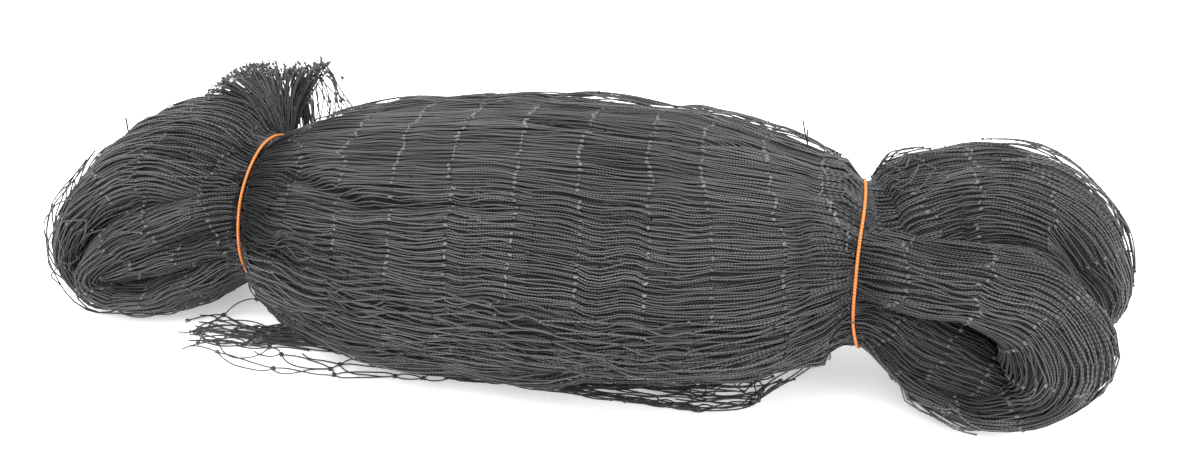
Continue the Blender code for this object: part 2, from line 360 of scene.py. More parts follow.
# draws strands in to the ties, and lets none stand over the cord
def gatherAtTies(points, normals, depth):
    for tie in ties.values():
        axes = tieAxes(tie)
        local = (points - np.array(tie["at"])) @ axes
        facing = normals @ axes
        halves = np.array([tie["halfWidth"], tie["halfHeight"]]) - tieCord / 2 - twineRadius - 0.1 - depth
        along = roundTie(tie, local, halves)[2]
        # where a line of points crosses the cord, the nearer point slides onto the crossing
        line, mark = np.nonzero((along[:, 1:] >= 0) != (along[:, :-1] >= 0))
        share = along[line, mark] / (along[line, mark] - along[line, mark + 1])
        crossing = local[line, mark] + (local[line, mark + 1] - local[line, mark]) * share[:, None]
        local[line, mark + (share > 0.5)] = crossing
        away, level, along = roundTie(tie, local, halves)
        across = local[..., 1] / halves[0]
        up = local[..., 2] / halves[1]
        outward = (facing[..., 1] * across + facing[..., 2] * up) / away
        reach = np.where(along < 0, tie["reachBefore"], tie["reachAfter"])
        weight = (1 - smoothStep(np.abs(along) / reach, 0.0, 1.0)) * smoothStep(outward, -0.1, 0.4)
        weight = weight * smoothStep(away, 0.45, 0.75)
        drawn = away + weight * (1 - away)
        slope = 0.05 - 0.022 * smoothStep(-level, 0.1, 0.6) * (along > 0)
        most = 1 + np.maximum(np.abs(along) - 1.4, 0.0) * slope
        drawn = np.where(np.abs(along) < 20, np.minimum(drawn, most), drawn)
        local[..., 1] *= drawn / away
        local[..., 2] *= drawn / away
        points = local @ axes.T + np.array(tie["at"])
    return points


# random values, smoothed over neighbouring lanes and, where a second scale is given, rows
def softNoise(rng, rows, lanes, laneScale, rowScale=0.0):
    noise = rng.standard_normal((rows, lanes))
    for axis, scale in ((1, laneScale), (0, rowScale)):
        if scale:
            window = np.exp(-2 * (math.pi * np.fft.fftfreq(noise.shape[axis]) * scale) ** 2)
            window = window if axis else window[:, None]
            noise = np.fft.ifft(np.fft.fft(noise, axis=axis) * window, axis=axis).real
    return noise / noise.std()


# lays a knotted net over a skin: knots in columns, with two bars from each to the next column
def layNet(skin, plan, zone, seed):
    rng = np.random.default_rng(seed)
    strands = plan["strands"]
    half = strands // 2
    columns = int((plan["end"] - plan["start"]) / plan["bar"]) + 1
    column = np.arange(columns)[:, None]
    lane = 2 * np.arange(half)[None, :] + column % 2
    turnFrom, turnTo = plan.get("turns", (0.0, 1.0))
    turnEach = (turnTo - turnFrom) / strands
    turn = turnFrom + lane * turnEach
    along = plan["start"] + plan["bar"] * column + np.zeros_like(turn)
    place = onSkin(skin, along, turn, np.zeros_like(turn))[0]
    local = {key: np.broadcast_to(value, turn.shape) for key, value in zone(place).items()}
    outline = np.interp(along, skin["station"], skin["outline"])
    gap = outline * turnEach

    def noise(*scales):
        return softNoise(rng, columns, half, *scales)

    drift = 0.45 * noise(0.4) + 0.65 * noise(1.6, 0.6) + 0.55 * noise(5.0, 0.8)
    sideways = drift * local["wander"] * np.minimum(gap / 1.2, 1.0)
    slip = local["slip"] + local["ragged"] * (local["scatter"] * noise(0.7) + 0.6 * noise(5.0))
    along = along + np.clip(slip, -0.34 * plan["bar"], 0.34 * plan["bar"])
    lift = plan["lift"] + plan["unevenLift"] * (0.5 * noise(0.5) + 0.7 * noise(3.0, 0.5))
    sway = [noise(5.0), noise(7.0, 0.5)]
    groups = noise(2.5, 0.5)
    wave = [noise(1.2), noise(1.2), noise(0.6)]

    # the two bars from each knot, on its either side
    bars = []
    i = np.arange(half)
    for j in range(columns - 1):
        straight = 1 if j % 2 == 0 else -1
        bars.append(np.stack([np.full(half, j), i, i, np.full(half, straight)]))
        bars.append(np.stack([np.full(half, j), i, (i - straight) % half, np.full(half, -straight)]))
    bars = np.concatenate(bars, axis=1)
    if plan.get("open"):
        # no bar joins the last lane to the first
        bars = bars[:, lane[bars[0], bars[1]] + bars[3] == lane[bars[0] + 1, bars[2]]]
    j, fromKnot, toKnot, side = bars
    side = side[:, None]
    count = len(j)
    t = np.concatenate([[0.0, 0.03], np.linspace(0, 1, plan["steps"] + 1)[1:-1], [0.97, 1.0]])[None, :]
    ease = 0.5 * smoothStep(t, 0, 1) + 0.5 * t
    once, twice, thrice = (np.sin(k * math.pi * t) for k in (1, 2, 3))

    # a knot's value for each of its bars, and what passes along a bar from knot to knot
    def own(values):
        return values[j, fromKnot][:, None]

    def passing(values, share):
        return own(values) * (1 - share) + values[j + 1, toKnot][:, None] * share

    alongBar = passing(along, t)
    pinch = np.minimum(0.42, 0.36 * own(gap))
    ripple = own(local["ripple"])
    swing = own(local["sway"])
    across = passing(sideways, ease)
    across = across + side * pinch * (1 - 2 * t) * np.minimum(1.0, np.minimum(t, 1 - t) / 0.03)
    across = across + once * (ripple * own(wave[0]) + side * own(local["bow"]))
    across = across + twice * swing * 0.6 * own(sway[0]) + once * swing * 0.7 * own(sway[1])
    across = across + twice * ripple * 0.6 * own(wave[1])
    across = across + thrice * ripple * 0.3 * rng.standard_normal((count, 1))
    girth = np.interp(alongBar, skin["station"], skin["outline"])
    turnBar = own(turn) + side * turnEach * ease + across / girth
    rise = plan["unevenLift"] * (0.4 + 0.5 * own(wave[2]) + 0.5 * rng.standard_normal((count, 1)))
    points, normals = onSkin(skin, alongBar, turnBar, passing(lift, t) + once * rise)
    points = pressOnFloor(gatherAtTies(points, normals, plan["inward"]), 0.5)
    turn = turn + sideways / outline
    knots, knotNormals = onSkin(skin, along, turn, lift + 0.1)
    ahead = onSkin(skin, along + 1.0, turn, lift + 0.1)[0]
    knots = pressOnFloor(gatherAtTies(knots, knotNormals, plan["inward"]), 1.2)
    # each bar is lighter or darker at random, and its zone's painted shade and painted light multiply that
    barTone = 1.0 + 0.20 * rng.standard_normal((count, 1)) + 0.14 * own(wave[0]) + 0.16 * own(groups)
    return {
        "points": points,
        "normals": normals,
        "tone": zone(points)["shade"] * np.clip(barTone, 0.35, 2.2),
        "length": plan["bar"] * (t + rng.random((count, 1))),
        "knots": knots.reshape(-1, 3),
        "knotNormals": knotNormals.reshape(-1, 3),
        "knotAlong": unit(ahead - knots).reshape(-1, 3),
        "knotSize": local["knots"].reshape(-1),
        "knotShade": zone(knots)["shade"].reshape(-1),
    }


# four-cornered faces between each ring of points and the next
def ringFaces(rings, sides):
    side = np.arange(sides)
    following = (side + 1) % sides
    first = sides * np.arange(rings - 1)[:, None]
    corners = [first + side, first + sides + side, first + sides + following, first + following]
    return np.stack(corners, axis=-1).reshape(-1, 4)


# three-cornered faces that close the first ring and the last, each round its tip
def tipFaces(rings, sides, start, tips):
    side = np.arange(sides)
    following = (side + 1) % sides
    last = start + (rings - 1) * sides
    return np.concatenate([
        np.stack([np.full(sides, tips[0]), start + side, start + following], axis=1),
        np.stack([np.full(sides, tips[1]), last + following, last + side], axis=1),
    ])


def skinTree(skin):
    grid = skin["grid"][::4, ::4]
    rows, sides = grid.shape[:2]
    faces = ringFaces(rows, sides)[:, [0, 3, 2, 1]].tolist()
    faces.append(list(reversed(range(sides))))
    faces.append(list(range((rows - 1) * sides, rows * sides)))
    return BVHTree.FromPolygons(grid.reshape(-1, 3).tolist(), faces)


def depthIn(trees, point):
    deepest = -99.0
    for tree in trees:
        place, normal, _, away = tree.find_nearest(point)
        if (point - place).dot(normal) < 0:
            deepest = max(deepest, away)
    return deepest


barKeys = ("points", "normals", "tone", "length")
knotKeys = ("knots", "knotNormals", "knotAlong", "knotSize", "knotShade")


def partOfNet(net, bars, knots):
    part = {key: net[key][bars] for key in barKeys}
    part.update({key: net[key][knots] for key in knotKeys})
    return part


# leaves out bars and knots that lie deep inside the other bundles
def trimNet(net, trees, depth=3.0):
    marks = net["points"].shape[1]
    looked = net["points"][:, [1, marks // 2, marks - 2]]
    bars = [any(depthIn(trees, Vector(point)) < depth for point in line) for line in looked]
    knots = [depthIn(trees, Vector(knot)) < depth for knot in net["knots"]]
    return partOfNet(net, np.array(bars), np.array(knots))


# the bars and knots of a net that lie on the near side, or on the far side
def netSide(net, near):
    def chosen(points):
        return (points[:, 1] + 0.5 * (60.0 - points[:, 2]) < 28.0) == near

    return partOfNet(net, chosen(net["points"].mean(axis=1)), chosen(net["knots"]))


# makes one piece from its arrays of points and faces, with where it belongs in the part
def makePiece(name, arrays, material, replaces=None):
    quads, triangles = arrays["quads"], arrays["triangles"]
    mesh = bpy.data.meshes.new(name)
    mesh.vertices.add(len(arrays["points"]))
    mesh.vertices.foreach_set("co", (arrays["points"] * millimetre).astype(np.float32).ravel())
    corners = np.concatenate([quads.ravel(), triangles.ravel()]).astype(np.int32)
    sizes = np.concatenate([np.full(len(quads), 4), np.full(len(triangles), 3)]).astype(np.int32)
    starts = np.concatenate([[0], np.cumsum(sizes)[:-1]]).astype(np.int32)
    mesh.loops.add(len(corners))
    mesh.loops.foreach_set("vertex_index", corners)
    mesh.polygons.add(len(sizes))
    mesh.polygons.foreach_set("loop_start", starts)
    mesh.update(calc_edges=True)
    layer = mesh.uv_layers.new(name="twineMap")
    uv = np.stack([arrays["lengthwise"], arrays["around"]], axis=-1)
    layer.data.foreach_set("uv", uv.astype(np.float32).ravel())
    # each point carries its twine's own lightness times painted shade and painted light
    shade = mesh.attributes.new("tone", "FLOAT", "POINT")
    shade.data.foreach_set("value", arrays["tone"].astype(np.float32))
    mesh.shade_smooth()
    mesh.materials.append(material)
    item = bpy.data.objects.new(name, mesh)
    bpy.context.scene.collection.objects.link(item)
    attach(item, "root")
    if replaces:
        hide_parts(replaces)
    print(name, 2 * len(quads) + len(triangles), "triangles")
    return item


# the parts of a surface that stand off it squarely to a heading
def squareTo(heading, normals):
    lifted = unit(normals - (normals * heading).sum(axis=-1, keepdims=True) * heading)
    return lifted, np.cross(heading, lifted)


# closed tubes along lines of points; the first and last points are the tips
def tubeArrays(lines, normals, radius, sides, lengthwise, tone):
    count, marks = lines.shape[:2]
    inner = marks - 2
    each = inner * sides + 2
    lifted, aside = squareTo(unit(np.gradient(lines, axis=1)), normals)
    turns = (2 * math.pi * (np.arange(sides) + 0.5) / sides)[:, None]
    rings = lines[:, 1:-1, None] + radius * (
        lifted[:, 1:-1, None] * np.cos(turns) + aside[:, 1:-1, None] * np.sin(turns)
    )
    points = np.concatenate([lines[:, :1], rings.reshape(count, -1, 3), lines[:, -1:]], axis=1)
    quads = 1 + ringFaces(inner, sides)
    triangles = tipFaces(inner, sides, 1, (0, each - 1))
    shift = (np.arange(count) * each)[:, None, None]
    lengthwise = np.broadcast_to(lengthwise, (count, marks))
    tone = np.broadcast_to(tone, (count, marks))
    q = np.arange(sides)
    aroundQuads = np.tile(np.stack([q, q, q + 1, q + 1], axis=1), (inner - 1, 1)) / sides
    aroundTips = np.concatenate([np.stack([q, q, q + 1], axis=1), np.stack([q, q + 1, q], axis=1)]) / sides

    def lengthAt(corners):
        return lengthwise[:, (corners - 1) // sides + 1].ravel()

    return {
        "points": points.reshape(-1, 3),
        "quads": (quads[None] + shift).reshape(-1, 4),
        "triangles": (triangles[None] + shift).reshape(-1, 3),
        "lengthwise": np.concatenate([lengthAt(quads), lengthAt(triangles)]),
        "around": np.concatenate([np.tile(aroundQuads.ravel(), count), np.tile(aroundTips.ravel(), count)]),
        "tone": np.repeat(tone, [1] + [sides] * inner + [1], axis=1).ravel(),
    }


# half lengths of a knot along the strand, across it and off the surface
knotForm = (1.05, 0.75, 0.68)


# an octahedron, or one split once more
def knotTemplate(fine):
    points = [(1, 0, 0), (-1, 0, 0), (0, 1, 0), (0, -1, 0), (0, 0, 1), (0, 0, -1)]
    faces = [(0, 2, 4), (2, 1, 4), (1, 3, 4), (3, 0, 4), (2, 0, 5), (1, 2, 5), (3, 1, 5), (0, 3, 5)]
    if fine:
        points = [np.array(point, float) for point in points]
        known = {}

        def between(a, b):
            key = (min(a, b), max(a, b))
            if key not in known:
                points.append(unit(points[a] + points[b]))
                known[key] = len(points) - 1
            return known[key]

        split = []
        for a, b, c in faces:
            ab, bc, ca = between(a, b), between(b, c), between(c, a)
            split += [(a, ab, ca), (b, bc, ab), (c, ca, bc), (ab, bc, ca)]
        faces = split
    return np.array(points, float), np.array(faces)


def knotArrays(net, rng, fine, size):
    template, faces = knotTemplate(fine)
    count = len(net["knots"])
    heading = net["knotAlong"]
    lifted, aside = squareTo(heading, net["knotNormals"])
    own = np.broadcast_to(net.get("knotSize", 1.0), count)
    scale = size * own[:, None] * np.array(knotForm)
    scale = scale * (1 + 0.16 * rng.standard_normal((count, 3)))
    lean = 0.5 * rng.standard_normal(count)[:, None]
    turned = heading * np.cos(lean) + aside * np.sin(lean)
    axes = [turned, aside * np.cos(lean) - heading * np.sin(lean), lifted]
    lumps = template[None] * (1 + 0.14 * rng.standard_normal((count, len(template), 1))) * scale[:, None]
    points = net["knots"][:, None] + sum(axes[k][:, None] * lumps[..., k:k + 1] for k in range(3))
    shift = (np.arange(count) * len(template))[:, None, None]
    triangles = (faces[None] + shift).reshape(-1, 3)
    spots = np.tile(np.array([0.0, 0.5, 1.0]), len(triangles))
    # knots are painted lighter than the twine, more so the larger they are, as a painted highlight for their
    # glint, and dimmed by their zone's painted shade
    tone = np.clip(2.9 * own**1.5 + 0.8 * rng.standard_normal(count), 0.8, 5.0) * net.get("knotShade", 1.0)
    return {
        "points": points.reshape(-1, 3),
        "quads": np.zeros((0, 4), int),
        "triangles": triangles,
        "lengthwise": spots,
        "around": spots,
        "tone": np.repeat(tone, len(template)),
    }


def joined(parts):
    shift = 0
    whole = {key: [] for key in ("points", "quads", "triangles", "tone")}
    mapped = {"lengthwise": [[], []], "around": [[], []]}
    for part in parts:
        whole["points"].append(part["points"])
        whole["quads"].append(part["quads"] + shift)
        whole["triangles"].append(part["triangles"] + shift)
        whole["tone"].append(part["tone"])
        corners = len(part["quads"]) * 4
        for key in mapped:
            mapped[key][0].append(part[key][:corners])
            mapped[key][1].append(part[key][corners:])
        shift += len(part["points"])
    made = {key: np.concatenate(values) for key, values in whole.items()}
    for key, (first, second) in mapped.items():
        made[key] = np.concatenate(first + second)
    return made


# points along smooth curves through a few given ones: one row of points for each strand
def curveThrough(guides, marks):
    guides = np.asarray(guides, float)
    count = guides.shape[1]
    before = 2 * guides[:, :1] - guides[:, 1:2]
    after = 2 * guides[:, -1:] - guides[:, -2:-1]
    guides = np.concatenate([before, guides, after], axis=1)
    places = np.concatenate([[0.0, 0.02], np.linspace(0, 1, marks - 2)[1:-1], [0.98, 1.0]]) * (count - 1)
    span = np.minimum(places.astype(int), count - 2)
    u = (places - span)[None, :, None]
    p0, p1, p2, p3 = (guides[:, span + k] for k in range(4))
    curve = 2 * p1 + (p2 - p0) * u + (2 * p0 - 5 * p1 + 4 * p2 - p3) * u**2
    return 0.5 * (curve + (3 * p1 - p0 - 3 * p2 + p3) * u**3)


def strandArrays(lines, radius, sides, tone):
    heading = unit(np.gradient(lines, axis=1))
    # one choice for a whole strand keeps its tube from twisting
    steep = (np.abs(heading[..., 2]) > 0.8).mean(axis=1) > 0.3
    normals = np.where(steep[:, None, None], (0.0, 1.0, 0.0), (0.0, 0.0, 1.0)) + np.zeros_like(lines)
    return tubeArrays(lines, normals, radius, sides, distanceAlong(lines), np.reshape(tone, (-1, 1)))


# a knot of two small wraps of twine, for where the net is open enough to see them
def wrapArrays(places, headings, rng):
    count = len(places)
    turns = np.linspace(0.0, 2 * math.pi, 10)[None, :, None]
    heading = unit(headings + 0.25 * rng.standard_normal((count, 3)))
    upright = unit(np.cross(heading, np.cross(np.array([0.0, 0.0, 1.0]), heading)) + 1e-6)
    aside = np.cross(heading, upright)
    lines = []
    for tilt, shift, reach in ((0.5, -0.42, 1.0), (-0.6, 0.38, 0.85)):
        axis = heading * math.cos(tilt) + aside * math.sin(tilt)
        across = aside * math.cos(tilt) - heading * math.sin(tilt)
        ring = (
            across[:, None] * np.cos(turns) * 0.95
            + upright[:, None] * np.sin(turns) * 0.7
            + axis[:, None] * np.sin(turns * 2) * 0.12
        )
        lines.append(places[:, None] + (reach * ring + shift * heading[:, None]))
    lines = np.concatenate(lines)
    middles = np.concatenate([places, places])[:, None]
    tone = 1.25 + 0.15 * rng.standard_normal((len(lines), 1))
    lengths = np.linspace(0, 4, 10)[None, :]
    return tubeArrays(lines, unit(lines - middles), twineRadius * 0.95, 4, lengths, tone)


# where the two right folds part: x, y, z, radius, depth
foldPartings = [
    (205, -6, 82, 8, 4.5),
    (213, -6, 77, 9, 8.0),
    (220, -5, 70, 10, 10.0),
    (226, -4, 61, 10, 10.0),
    (229, -4, 50, 9, 8.0),
    (-240, -30, 9, 14, 3.5),
    (187, -26, 88, 12, 2.2),
    (172, -24, 90, 10, 1.5),
]


def swellFold(grid):
    raised = np.zeros(grid.shape[:2])
    for px, py, pz, radius, depth in foldPartings:
        away = np.linalg.norm(grid - np.array([px, py, pz]), axis=2)
        raised = raised - depth * bulge(away, 0, radius)
    x, y, z = grid[..., 0], grid[..., 1], grid[..., 2]
    uneven = np.sin(z / 6.5 + x / 21) * np.sin(x / 17 - y / 9)
    uneven = uneven + 0.7 * np.sin(y / 4.6 + x / 13) * np.sin(x / 14)
    return raised + 0.7 * uneven * smoothStep(np.abs(x), 140, 158)


# degrees up round the middle's section: 0 is the front, 90 the top
def upRound(place):
    return np.degrees(np.arctan2(place[..., 2] - 52.0, -place[..., 1] * 59 / 78)) % 360


# along the middle the outer sheet ends in an edge, and the sheet below it swells out: x, then z of the edge
sheetEdge = [
    (-122, 76), (-107, 88.5), (-93, 91), (-76, 91.5), (-59, 92.5), (-45, 92.7),
    (-37, 94.6), (-25, 96.7), (-17, 98), (0, 99), (30, 99),
]
# how far the middle is tucked in low along its front: x, then millimetres
lowTuck = [
    (-62, 0), (-45, 1.5), (-25, 2.9), (-5, 3.5), (12, 6), (25, 10.5), (40, 12.5),
    (62, 12.5), (78, 10.5), (92, 8.5), (106, 7), (115, 5), (123, 2), (130, 0),
]
# where a neat row of strands ends near the top, x and y
topEdge = [(-20, -6), (20, -10), (60, -10), (80, 0), (105, 2)]
# dark places where strands have parted: x, z, half length, half height, depth
partings = [
    (-52, 86, 16, 4.5, 3.5),
    (-66, 79, 9, 5.0, 4.0),
    (-40, 76, 15, 4.0, 3.0),
    (-84, 84, 14, 4.0, 2.5),
    (-118, 70, 9, 9.0, 3.0),
    (-104, 60, 12, 5.0, 3.0),
    (12, 84, 20, 2.0, 1.8),
    (-20, 67, 22, 2.4, 2.2),
    (60, 77, 16, 2.0, 1.8),
    (-88, 40, 16, 3.0, 3.0),
    (-50, 30, 22, 2.5, 2.5),
    (20, 24, 22, 2.5, 2.5),
    (96, 52, 14, 4.0, 2.0),
    (90, 30, 18, 3.0, 2.5),
]


def swellBody(grid):
    x, y, z = grid[..., 0], grid[..., 1], grid[..., 2]
    front = smoothStep(-y, 2, 20)
    wave = 1.2 * np.sin(x / 9.0) + 0.8 * np.sin(x / 4.3 + 1.0)
    below = (np.interp(x, *zip(*sheetEdge)) - z) * 1.25 + wave
    strength = smoothStep(x, -126, -108) * (1 - 0.85 * smoothStep(x, -30, 30)) * front
    step = 1.5 * bulge(below, -5, 5) * (below < 0) - 3.6 * bulge(below, 2.2, 1.8) + 2.2 * bulge(below, 10, 6)
    raised = strength * step
    for px, pz, halfLong, halfHigh, depth in partings:
        raised = raised - front * depth * np.exp(-((x - px) / halfLong) ** 2 - ((z - pz) / halfHigh) ** 2)
    past = y - np.interp(x, *zip(*topEdge))
    top = smoothStep(z, 85, 98) * smoothStep(x, -30, 10)
    raised = raised + top * (1.2 * bulge(past, -4, 4) * (past < 0) - 2.6 * bulge(past, 2, 1.8))
    # the closed part of the crown lies a little below its open meshes
    raised = raised - 1.2 * smoothStep(z, 97, 107)
    up = upRound(grid)
    fromFront = (up + 180) % 360 - 180
    tuck = np.interp(x, *zip(*lowTuck)) * smoothStep(-fromFront, 8, 28)
    raised = raised - tuck * smoothStep(fromFront, -125, -80)
    # broad unevenness, as of hanks of strands lying side by side
    uneven = np.sin(np.radians(up) * 9 + x / 31) * np.sin(x / 23 + up / 40)
    uneven = uneven + 0.6 * np.sin(np.radians(up) * 17 - x / 19)
    return raised + 0.7 * uneven * smoothStep(np.abs(x), 128, 105)


# a zone says how the net lies at each place: scatter, knots and shade are shares, the rest millimetres
# wander: how far knots stray sideways, slip: along, ragged: unevenly along, scatter: its share knot by knot
# bow, ripple and sway: how a bar bends, knots: their size and how much lighter they are painted, shade:
# painted shade and light on the twine
# over the middle, knot columns are in line above, and the net is loose and wavy low down
def bodyZone(place):
    x, y, z = place[..., 0], place[..., 1], place[..., 2]
    up = upRound(place)
    fromFront = (up + 180) % 360 - 180
    leftEnd = smoothStep(-x, 62, 122)
    low = smoothStep(-fromFront + 26 * leftEnd, -20, 6) * (fromFront > -120)
    back = smoothStep(up, 150, 200)
    slope = smoothStep(-up, -90, -28)
    calm = smoothStep(up, 48, 66)
    front = smoothStep(-np.abs(up - 40), -75, -45)
    neck = smoothStep(x, 70, 100) * (1 - calm)
    # painted shade darkens it beside both ties; painted light makes it lighter high on the front of the
    # middle
    shade = 1.0 - 0.60 * front * smoothStep(-x, 84, 122)
    shade = shade - 0.50 * smoothStep(x, 129, 131.5) * smoothStep(-z, -84, -70)
    shade = shade - 0.30 * smoothStep(-x, 112, 134) * smoothStep(-y, -10, 5)
    shade = shade + 0.12 * bulge(up, 30, 14) * bulge(x, -10, 60)
    return {
        "wander": 0.85 + 1.1 * low + 0.4 * back,
        "slip": (-2.0 + 12.0 * slope) * (1 - low) + 5.0 * low,
        "ragged": 0.8 + 8.0 * low + 3.0 * back + 3.0 * leftEnd * front + 0.6 * neck,
        "scatter": 0.8,
        "bow": 0.08 + 0.85 * low + 0.40 * neck,
        "ripple": 0.35 + 0.70 * low + 0.2 * leftEnd + 0.4 * neck,
        "sway": 0.28 + 0.55 * (1 - calm) + 0.2 * low + 0.3 * neck,
        "knots": 0.92 - 0.30 * low + 0.10 * calm,
        "shade": np.maximum(shade, 0.16),
    }


def foldZone(place):
    x, z = place[..., 0], place[..., 2]
    apart = smoothStep(np.minimum(np.abs(x - 131), np.abs(x + 142)), 8, 30)
    # painted shade: darker within the right fold's turn, behind the left tie and beside the right one
    paintedEyeShade = 0.4 * np.exp(-((x - 172) / 26) ** 4 - ((z - 32) / 15) ** 4)
    paintedEyeShade = paintedEyeShade + 0.15 * smoothStep(-x, 138, 144) * smoothStep(x, -190, -155)
    paintedTieShade = 0.50 * smoothStep(-np.abs(x - 133), -26, -3) * (1 - 0.6 * smoothStep(z, 72, 88))
    return {
        "wander": 1.1,
        "slip": 0.0,
        "ragged": 0.8 + 3.4 * apart,
        "scatter": 0.8 - 0.5 * apart,
        "bow": 0.38,
        "ripple": 0.85 - 0.35 * apart,
        "sway": 0.4,
        "knots": 0.98,
        "shade": np.clip(1.0 - paintedTieShade - paintedEyeShade, 0.2, 1.0),
    }


# odd meshes that stand off the rest, open enough to see through at the outline
def looseZone(place):
    return {
        "wander": 1.0,
        "slip": 0.0,
        "ragged": 4.0,
        "scatter": 0.8,
        "bow": 1.0,
        "ripple": 0.6,
        "sway": 0.5,
        "knots": 0.75,
        "shade": np.ones_like(place[..., 0]),
    }


def newMaterial(name, roughness, gloss):
    material = bpy.data.materials.new(name)
    material.use_nodes = True
    surface = material.node_tree.nodes["Principled BSDF"]
    surface.inputs["Roughness"].default_value = roughness
    surface.inputs["Specular IOR Level"].default_value = gloss
    return material, material.node_tree, surface


# adds a node: each of its inputs takes another node's output, or a plain value
def addNode(tree, kind, inputs, operation=None):
    node = tree.nodes.new("ShaderNode" + kind)
    if operation:
        node.operation = operation
    for key, source in inputs.items():
        if isinstance(source, bpy.types.NodeSocket):
            tree.links.new(source, node.inputs[key])
        else:
            node.inputs[key].default_value = source
    return node


# spreads a value from one range to another
def addRange(tree, source, fromRange, toRange):
    return addNode(tree, "MapRange", {
        "Value": source,
        "From Min": fromRange[0], "From Max": fromRange[1],
        "To Min": toRange[0], "To Max": toRange[1],
    })


def addBump(tree, surface, height, strength, distance):
    bump = addNode(tree, "Bump", {"Strength": strength, "Distance": distance * millimetre, "Height": height})
    tree.links.new(bump.outputs["Normal"], surface.inputs["Normal"])


# twine and cord are ridged by their twist: its pitch in millimetres and how much painted shade darkens its
# grooves and painted light lightens its ridges, and how much a strand's own lightness with its painted shade
# changes it
twineStyles = {
    "net_twine": {
        "colour": (0.0342, 0.0352, 0.0371), "roughness": 0.40, "gloss": 0.36,
        "pitch": 1.15, "depth": 0.50, "spread": 0.85, "dullWhereDeep": True,
    },
    "tie_cord": {
        "colour": (0.52, 0.165, 0.036), "roughness": 0.45, "gloss": 0.40,
        "pitch": 1.4, "depth": 0.20, "spread": 0.30, "dullWhereDeep": False,
    },
}


def makeTwineMaterial(name):
    style = twineStyles[name]
    material, tree, surface = newMaterial(name, style["roughness"], style["gloss"])
    twine = addNode(tree, "UVMap", {})
    twine.uv_map = "twineMap"
    parted = addNode(tree, "SeparateXYZ", {"Vector": twine.outputs["UV"]})
    perPitch = addNode(tree, "Math", {0: parted.outputs["X"], 1: 1.0 / style["pitch"]}, "MULTIPLY")
    spiral = addNode(tree, "Math", {0: perPitch.outputs[0], 1: parted.outputs["Y"]}, "ADD")
    angle = addNode(tree, "Math", {0: spiral.outputs[0], 1: 2 * math.pi}, "MULTIPLY")
    ridge = addNode(tree, "Math", {0: angle.outputs[0]}, "SINE").outputs[0]
    attribute = addNode(tree, "Attribute", {})
    attribute.attribute_name = "tone"
    tone = attribute.outputs["Fac"]
    # painted shade darkens the grooves of the twist and painted light lightens its ridges
    shade = addRange(tree, ridge, (-1.0, 1.0), (1.0 - style["depth"], 1.0 + style["depth"]))
    spread = addRange(tree, tone, (0.0, 2.0), (1.0 - style["spread"], 1.0 + style["spread"]))
    spread.clamp = False
    if style["dullWhereDeep"]:
        # painted shade also dims the gloss: twine that is darker, at random or by painted shade, shines less
        gloss = addRange(tree, tone, (0.0, 0.8), (0.15 * style["gloss"], style["gloss"]))
        tree.links.new(gloss.outputs["Result"], surface.inputs["Specular IOR Level"])
    both = addNode(tree, "Math", {0: shade.outputs["Result"], 1: spread.outputs["Result"]}, "MULTIPLY")
    tint = addNode(tree, "VectorMath", {0: style["colour"], "Scale": both.outputs[0]}, "SCALE")
    tree.links.new(tint.outputs["Vector"], surface.inputs["Base Color"])
    addBump(tree, surface, ridge, 0.8, 0.12)
    return material


# the inner turns, streaked along the hank, darker than the twine as painted shade deep among the strands
innerStyle = {
    "dark": (0.014, 0.0145, 0.0153),
    "light": (0.024, 0.0246, 0.0258),
    "roughness": 0.8,
    "gloss": 0.1,
    "streaks": (60.0, 900.0, 900.0),
}


def makeInnerMaterial(name):
    material, tree, surface = newMaterial(name, innerStyle["roughness"], innerStyle["gloss"])
    place = addNode(tree, "TexCoord", {}).outputs["Object"]
    stretched = addNode(tree, "Mapping", {"Vector": place, "Scale": innerStyle["streaks"]}).outputs["Vector"]
    streaks = addNode(tree, "TexNoise", {"Vector": stretched, "Scale": 1.0, "Detail": 2.0}).outputs["Fac"]
    ramp = addNode(tree, "ValToRGB", {"Fac": streaks})
    for stop, position, colour in zip(ramp.color_ramp.elements, (0.3, 0.7), ("dark", "light")):
        stop.position = position
        stop.color = (*innerStyle[colour], 1.0)
    tree.links.new(ramp.outputs["Color"], surface.inputs["Base Color"])
    addBump(tree, surface, streaks, 0.6, 0.3)
    return material


netMaterial = makeTwineMaterial("net_twine")
tieMaterial = makeTwineMaterial("tie_cord")
innerMaterial = makeInnerMaterial("net_shadow")

outerInset = 0.4           # how far the middle of the twine lies inside the form
# sections along a skin and points round each, for the net and for the inner turns
netGrid = {"body": (240, 320), "fold": (240, 160)}
coreGrid = {"body": (100, 140), "fold": (60, 48)}
skins = {"body": makeSkin("body", bodyRows, outerInset, *netGrid["body"])}
for name, rows in foldRows.items():
    skins[name] = makeSkin(name, rows, outerInset, *netGrid["fold"])
trees = {name: skinTree(skin) for name, skin in skins.items()}
print("skins made:", ", ".join(skins))


def treesBeside(name):
    return [tree for other, tree in trees.items() if other != name]


# each bundle's net: strands round it, where it starts and ends along it, the length of a bar
netColumns = ("strands", "start", "end", "bar")
netPlans = {
    "body": (330, -4.8, 305.0, 25.6),
    "right_front": (140, 4.0, 245.0, 25.0),
    "right_back": (150, 4.0, 262.0, 25.0),
    "right_heart": (110, 2.0, 84.0, 20.0),
    "left_outer": (160, 4.0, 262.0, 25.0),
    "left_inner": (104, 4.0, 205.0, 25.0),
    "left_heart": (100, 2.0, 90.0, 22.0),
    "left_filling": (88, 1.0, 84.0, 20.0),
}
layers = {
    "outer": {"inward": 0.0, "steps": 6, "sides": 4, "knots": True},
    "inner": {"inward": 1.3, "steps": 4, "sides": 3, "knots": False},
}
